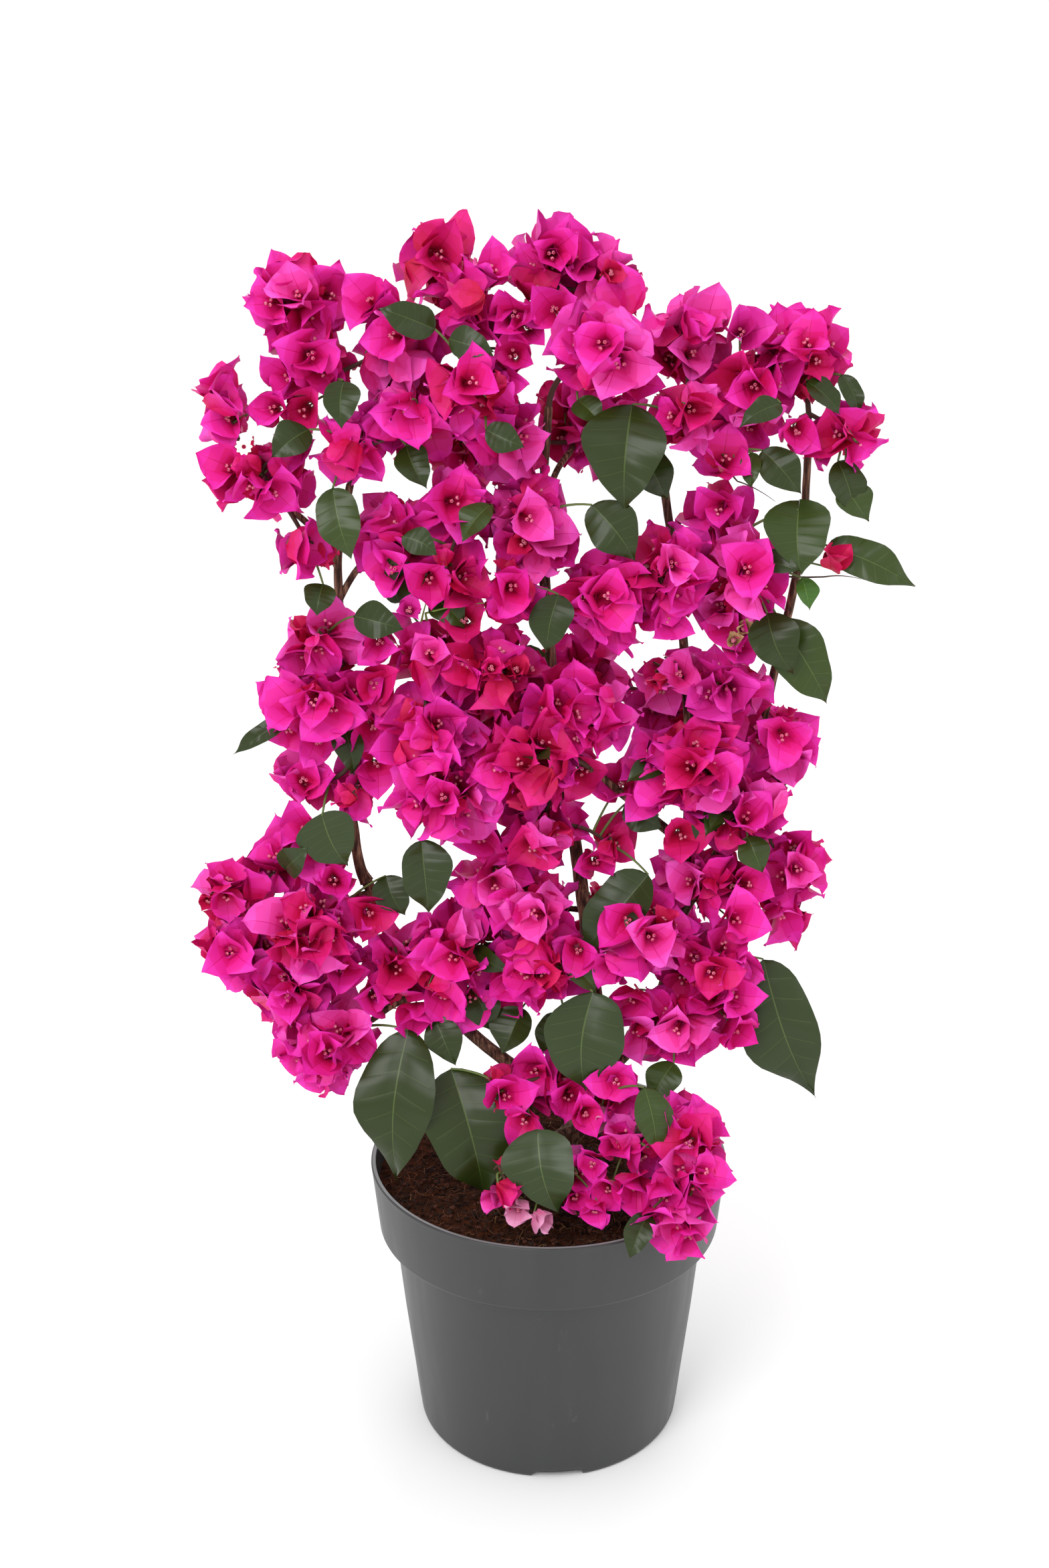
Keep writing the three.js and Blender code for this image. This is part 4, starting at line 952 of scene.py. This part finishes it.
def growMass(name, index):
    # a stem to the first clump, branches to the others, and sprays, flowers and leaves in each
    parent, share, clumps = masses[name]
    random = np.random.default_rng(grow["seed"] + 17 * index)
    course, radii = limbs.get("side_bough_" + name, limbs[parent])
    root, heading = course[-1], unit(course[-1] - course[-2])
    hubs = [spot(clump[:3]) for clump in clumps]
    lead = root + heading * grow["leadShare"] * np.linalg.norm(hubs[0] - root)
    thick, thin, count, sides = twigKinds["stem"]
    t = np.linspace(0, 1, count)[:, None]
    stem = (1 - t) ** 2 * root + 2 * t * (1 - t) * lead + t ** 2 * hubs[0]
    addTube(twigs, stem, np.linspace(thick, thin, count), sides, 0)
    segments = list(zip(stem[3:-1], stem[4:]))
    for hub in hubs[1:]:
        line = addTwig("branch", segmentNearest(segments, hub), hub, 3, random.normal(0, 3, 3), 0)
        segments += list(zip(line[:-1], line[1:]))
    flowers = []
    for clump, hub in zip(clumps, hubs):
        wide, high, deep = clump[3:]
        half = spot((wide, deep, high))
        sprays = []
        for k in range(grow["sprays"]):
            way = unit(random.normal(0, 1, 3) * (1, 1.2, 0.8) + (0, 0, 0.25))
            node = hub + way * half * grow["nodeShare"]
            addTwig("spray", hub, node, -2, random.normal(0, 1.5, 3), 1 if random.random() < 0.5 else 0)
            sprays.append((node, sprayKinds[int(random.integers(len(sprayKinds)))]))
        growFlowers(hub, half, sprays, flowers, random)
        growLeaves(hub, half, segments, flowers, random)
    return segments, flowers


allSegments = []
allFlowers = []
for index, name in enumerate(masses):
    segments, flowers = growMass(name, index)
    allSegments += segments
    allFlowers += flowers
print("flowers", len(allFlowers))

random = np.random.default_rng(5)
for base, tip, width, colour, heart in singleLeaves:
    base, tip = spot(base), spot(tip)
    start = segmentNearest(allSegments, base)
    addTwig("leafStem", start, base, -0.08 * np.linalg.norm(base - start), (0, 0, 0), 1)
    facing = np.array([0, -1, 0.35]) + random.normal(0, 0.2, 3)
    addLeaf(foliage, base, tip, width, facing, colour, random, droop=random.uniform(0.06, 0.14),
            fold=random.uniform(0.12, 0.3), heart=heart, wave=1.5, veined=True)

# the single flowers, each on a stem from the nearest limb
for place, axis, length, colour in singleFlowers:
    axis = unit(spot(axis))
    base = spot(place) - axis * length * grow["middleShare"]
    addFlower(blossom, base, axis, length, colour, random, 0.7 if length < 28 else 1.0)
    start = segmentNearest(allSegments, base)
    addTwig("flowerStem", start, base, -0.1 * np.linalg.norm(base - start), (0, 0, 0), 1)

# bare shoots and thorny ends: foot, tip, thickness, finish
bareShoots = [
    ((132, -2, 752), (158, -10, 739), 0.6, 0), ((196, 0, 684), (221, -8, 684), 0.7, 0),
    ((-93, 2, 644), (-86, -12, 670), 1.3, 3), ((-88, -2, 658), (-45, -14, 668), 1.2, 3),
    ((-76, 6, 352), (-60, -14, 330), 0.8, 2),
]
for foot, tip, thick, finish in bareShoots:
    foot, tip = spot(foot), spot(tip)
    hidden = bentLine(segmentNearest(allSegments, foot), foot, 2, 6)
    line = np.concatenate([hidden[:-1], bentLine(foot, tip, -1.5, 7)])
    addTube(twigs, line, np.linspace(thick + 0.3, 0.25 * thick, len(line)), 5, finish)

addStar(blossom)

blossomPieces = blossom.pieces("blossom", bractMaterials, "foliage")
foliage.pieces("leaves", leafMaterials, "foliage")
twigs.pieces("twigs", twigMaterials, "bark")
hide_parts(*(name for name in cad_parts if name.startswith("foliage_")))
print("masses grown")


# pot: a turned wall with a rim band, and notches in the foot ring

pot = {
    "facets": 288, "notchAt": (4, 124, 244), "notchWidth": 40, "notchHeight": 5.5, "notchEnd": 3.5,
    "footRing": (92.5, 94.5, 106), "innerHeight": 3.6,  # the ring's foot, its own edge, the wall
    # where the painted highlight on the lip lies: above this height and between these radii
    "paintedHighlightFrom": 0.2245, "paintedHighlightBetween": (0.1365, 0.1388),  # metres
    # radius, height, and how far each corner is rounded
    "section": [
        (0, 0, 0), (34, 0, 0.5), (36, 4, 0.8), (92, 4, 0.8), (94, 0, 0.8), (103, 0, 1.4), (104.6, 2.2, 1.6),
        (105.4, 9, 0), (106, 13, 0), (109, 40, 0), (116, 100, 0), (123, 169, 0.8), (133.4, 169.4, 0.7),
        (134.4, 171, 0.8), (139.5, 221.2, 1.5), (140, 224.2, 1.1),
        (138.4, 225, 0.9), (136.0, 224.7, 0.9), (135.7, 222, 1.2), (131, 171.2, 1.5), (119.4, 170.2, 1.5),
        (102.8, 6, 2), (0, 6, 0)],
}


def roundedSection(section):
    points = []
    for i, (radius, height, round_) in enumerate(section):
        here = np.array([radius, height])
        if round_ == 0:
            points.append(here)
            continue
        before = np.array(section[i - 1][:2]) - here
        after = np.array(section[i + 1][:2]) - here
        a = here + before * min(0.45, round_ / np.linalg.norm(before))
        b = here + after * min(0.45, round_ / np.linalg.norm(after))
        for t in (0, 0.25, 0.5, 0.75, 1):
            points.append((1 - t) ** 2 * a + 2 * t * (1 - t) * here + t ** 2 * b)
    return points


def cutNotch(corner):
    # the notches lift the foot ring's underside
    inner, edge, outer = pot["footRing"]
    radius, height = math.hypot(corner.co.x, corner.co.y) * 1000, corner.co.z * 1000
    if not (inner < radius < outer and height < pot["notchHeight"]):
        return
    angle = math.degrees(math.atan2(corner.co.x, -corner.co.y))
    for middle in pot["notchAt"]:
        across = math.radians(abs((angle - middle + 180) % 360 - 180)) * radius
        inside = pot["notchWidth"] / 2 - across
        if inside > 0:
            share = min(1.0, inside / pot["notchEnd"])
            top = pot["notchHeight"] * math.sqrt(1 - (1 - share) ** 2)
            limit = pot["notchHeight"] if radius > edge else pot["innerHeight"]
            corner.co.z = max(corner.co.z, min(top, limit) * 0.001)


def potPiece():
    mesh = bpy.data.meshes.new("pot_body")
    shape = bmesh.new()
    section = roundedSection(pot["section"])
    corners = [shape.verts.new((radius * 0.001, 0, height * 0.001)) for radius, height in section]
    edges = [shape.edges.new(pair) for pair in zip(corners, corners[1:])]
    bmesh.ops.spin(shape, geom=corners + edges, cent=(0, 0, 0), axis=(0, 0, 1), angle=2 * math.pi,
                   steps=pot["facets"], use_merge=True)
    bmesh.ops.remove_doubles(shape, verts=shape.verts, dist=1e-6)
    bmesh.ops.recalc_face_normals(shape, faces=shape.faces)
    for corner in shape.verts:
        cutNotch(corner)
    shape.to_mesh(mesh)
    shape.free()
    mesh.shade_smooth()
    piece = addObject("pot_body", mesh)
    # moulded polypropylene, satin, with scuffs
    plastic = newMaterial("pot_plastic", "2c2d2e", Specular_IOR_Level=0.6)
    place = addNode(plastic, "ShaderNodeTexCoord")
    tall = addNode(plastic, "ShaderNodeMapping", {"Scale": (60, 60, 7)}, [("Vector", place, "Object")])
    drag = addNode(plastic, "ShaderNodeTexNoise", {"Scale": 1.0, "Detail": 4.0}, [("Vector", tall, "Vector")])
    tone = blendOf(plastic, drag, (0.3, "252627"), (0.72, "2c2d2e"))
    scratchMap = addNode(plastic, "ShaderNodeMapping", {"Scale": (30, 30, 14), "Rotation": (0.3, 0.5, 0.2)},
                         [("Vector", place, "Object")])
    scratch = addNode(plastic, "ShaderNodeTexNoise", {"Scale": 2.6, "Detail": 6.0, "Roughness": 0.72},
                      [("Vector", scratchMap, "Vector")])
    scuff = rangeOf(plastic, scratch, (0.66, 0.74), (0.0, 0.4))
    mixed = addNode(plastic, "ShaderNodeMix", {"data_type": "RGBA"}, [(0, scuff, 0), (6, tone, "Color")])
    mixed.inputs[7].default_value = linearColour("5c5d5e")
    feedShader(plastic, "Base Color", mixed, 2)
    feedShader(plastic, "Roughness", rangeOf(plastic, drag, (0.3, 0.7), (0.36, 0.47)))
    pebble = addNode(plastic, "ShaderNodeTexNoise", {"Scale": 1400.0, "Detail": 2.0},
                     [("Vector", place, "Object")])
    bump = addNode(plastic, "ShaderNodeBump", {"Strength": 0.12, "Distance": 0.0002}, [("Height", pebble, 0)])
    feedShader(plastic, "Normal", bump)
    mesh.materials.append(plastic)
    # the paler grey band along the top of the lip is a painted highlight
    mesh.materials.append(newMaterial("pot_lip_painted_highlight", "77797a", Roughness=0.45))
    inner, outer = pot["paintedHighlightBetween"]
    for face in mesh.polygons:
        if face.center.z > pot["paintedHighlightFrom"] and inner < math.hypot(face.center.x, face.center.y) < outer:
            face.material_index = 1
    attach(piece, "root")
    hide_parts("pot")


potPiece()
print("pot made")


# soil: coir compost, lumpy and fibrous

soil = {
    "radius": 134.6, "edge": 205, "rise": 4, "rings": 104, "facets": 220, "seed": 12,
    "lump": 2.4, "knot": 1.6, "grain": 1.5,
    # radius and height of the sides under the surface, down to the pot's floor
    "below": [(134.0, 190.0), (130.4, 171.5), (119.0, 169.8), (102.2, 6.4), (1.0, 6.4)],
    "fibres": 2300, "fibreRing": 131, "outermost": 133, "fibreLength": (4, 15), "longLength": (16, 30),
    "longEach": 12, "curl": 0.09, "thickness": (0.16, 0.34), "thinning": (1, 1, 1, 0.9, 0.5),
    "crumbs": 800, "crumbRing": 130, "crumbSize": (0.7, 2.4),
    # fibres: colour, roughness, share
    "colours": {"dark": ("2c160c", 0.9, 0.48), "red": ("542a18", 0.9, 0.36),
                "tan": ("7c4c2c", 0.85, 0.14), "straw": ("a07a48", 0.8, 0.02)},
}


def soilHeight(x, y):
    outward = math.hypot(x, y) / soil["radius"]
    rise = soil["rise"] * (1 - outward ** 2)
    lumps = noise.noise(Vector((x / 26, y / 26, 3)))
    knots = noise.noise(Vector((x / 9, y / 9, 8)))
    grain = noise.noise(Vector((x / 2.6, y / 2.6, 1))) + 0.6 * noise.noise(Vector((x / 1.2, y / 1.2, 5)))
    return soil["edge"] + rise + soil["lump"] * lumps + soil["knot"] * knots + soil["grain"] * grain


def soilPlace(ring, random):
    # a random place on the surface, within a ring
    angle, outward = random.uniform(0, 2 * math.pi), ring * math.sqrt(random.random())
    return outward * math.cos(angle), outward * math.sin(angle)


def soilPieces():
    heap = Heap()
    radii = soil["radius"] * np.linspace(0.004, 1, soil["rings"]) ** 0.8
    angles = np.arange(soil["facets"]) * 2 * math.pi / soil["facets"]
    surface = np.array([[(r * math.cos(a), r * math.sin(a), soilHeight(r * math.cos(a), r * math.sin(a)))
                         for a in angles] for r in radii])
    skirt = np.array([[(r * math.cos(a), r * math.sin(a), z) for a in angles] for r, z in soil["below"]])
    everything = np.concatenate([surface, skirt])
    quads = gridQuads(len(everything), soil["facets"], closed=True)[:, ::-1]
    heap.add(everything.reshape(-1, 3), quads, np.zeros(len(quads)))
    coir = newMaterial("coir", "3c2014", Roughness=0.95, Specular_IOR_Level=0.08)
    place = addNode(coir, "ShaderNodeTexCoord")
    patches = addNode(coir, "ShaderNodeTexNoise", {"Scale": 160.0, "Detail": 8.0, "Roughness": 0.7},
                      [("Vector", place, "Object")])
    feedShader(coir, "Base Color", blendOf(coir, patches, (0.38, "120805"), (0.7, "58301c")))
    grit = addNode(coir, "ShaderNodeTexNoise", {"Scale": 1100.0, "Detail": 5.0},
                   [("Vector", place, "Object")])
    bump = addNode(coir, "ShaderNodeBump", {"Strength": 0.8, "Distance": 0.0012}, [("Height", grit, 0)])
    feedShader(coir, "Normal", bump)
    ground = heap.pieces("soil_top", [coir], "soil")[0]
    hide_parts("soil")

    strands = Heap()
    random = np.random.default_rng(soil["seed"])
    finishes, shares = [], []
    for name, (colour, roughness, share) in soil["colours"].items():
        finishes.append(newMaterial("fibre_" + name, colour, Roughness=roughness))
        shares.append(share)
    for i in range(soil["fibres"]):
        x, y = soilPlace(soil["fibreRing"], random)
        heading = random.uniform(0, 2 * math.pi)
        length = random.uniform(*soil["fibreLength" if i % soil["longEach"] else "longLength"])
        curl = random.normal(0, soil["curl"])
        line, widest = [], 0
        for k in range(5):
            line.append((x, y, soilHeight(x, y) + random.uniform(0.2, 1.8)))
            widest = max(widest, math.hypot(x, y))
            x += length / 4 * math.cos(heading)
            y += length / 4 * math.sin(heading)
            heading += curl * length / 4 + random.normal(0, 0.2)
        if widest > soil["outermost"]:
            continue
        radii = random.uniform(*soil["thickness"]) * np.array(soil["thinning"])
        addTube(strands, np.array(line), radii, 3, int(random.choice(len(shares), p=shares)))
    for i in range(soil["crumbs"]):
        x, y = soilPlace(soil["crumbRing"], random)
        size = random.uniform(*soil["crumbSize"])
        line = np.array([(0, 0, -0.6), (0.2, 0, 0.1), (0, 0.1, 0.7)]) * size + (x, y, soilHeight(x, y) + 0.4)
        addTube(strands, line, np.array([0.5, 1.0, 0.4]) * size, 5, int(random.integers(0, 2)))
    strands.pieces("soil_fibres", finishes, "soil")


soilPieces()
print("soil made")


# stage and lights

def plane(name, size, height):
    mesh = bpy.data.meshes.new(name)
    shape = bmesh.new()
    bmesh.ops.create_grid(shape, x_segments=1, y_segments=1, size=size)
    bmesh.ops.translate(shape, verts=shape.verts, vec=(0, 0, height))
    shape.to_mesh(mesh)
    shape.free()
    return addObject(name, mesh)


floor = plane("floor", 30.0, 0.0)
floor.data.materials.append(newMaterial("floor", "fbfbfb", Roughness=0.95, Specular_IOR_Level=0.05))

world = bpy.data.worlds.new("studio")
scene.world = world
world.use_nodes = True
backdrop = world.node_tree.nodes["Background"]
backdrop.inputs["Color"].default_value = linearColour("ffffff")
backdrop.inputs["Strength"].default_value = 1.06

lights = {
    "key": {"place": (-1.3, -2.3, 2.5), "aim": (0, 0, 0.5), "size": 1.5, "power": 40},
    "fill": {"place": (2.2, -1.6, 1.5), "aim": (0, 0, 0.5), "size": 1.6, "power": 6},
    "back": {"place": (0.6, 2.4, 2.4), "aim": (0, 0, 0.6), "size": 1.8, "power": 12},
}
for name, light in lights.items():
    lamp = bpy.data.lights.new(name, "AREA")
    lamp.size = light["size"]
    lamp.energy = light["power"]
    holder = addObject(name, lamp)
    holder.location = light["place"]
    toward = Vector(light["aim"]) - Vector(light["place"])
    holder.rotation_euler = toward.to_track_quat("-Z", "Y").to_euler()
scene.view_settings.view_transform = "Standard"
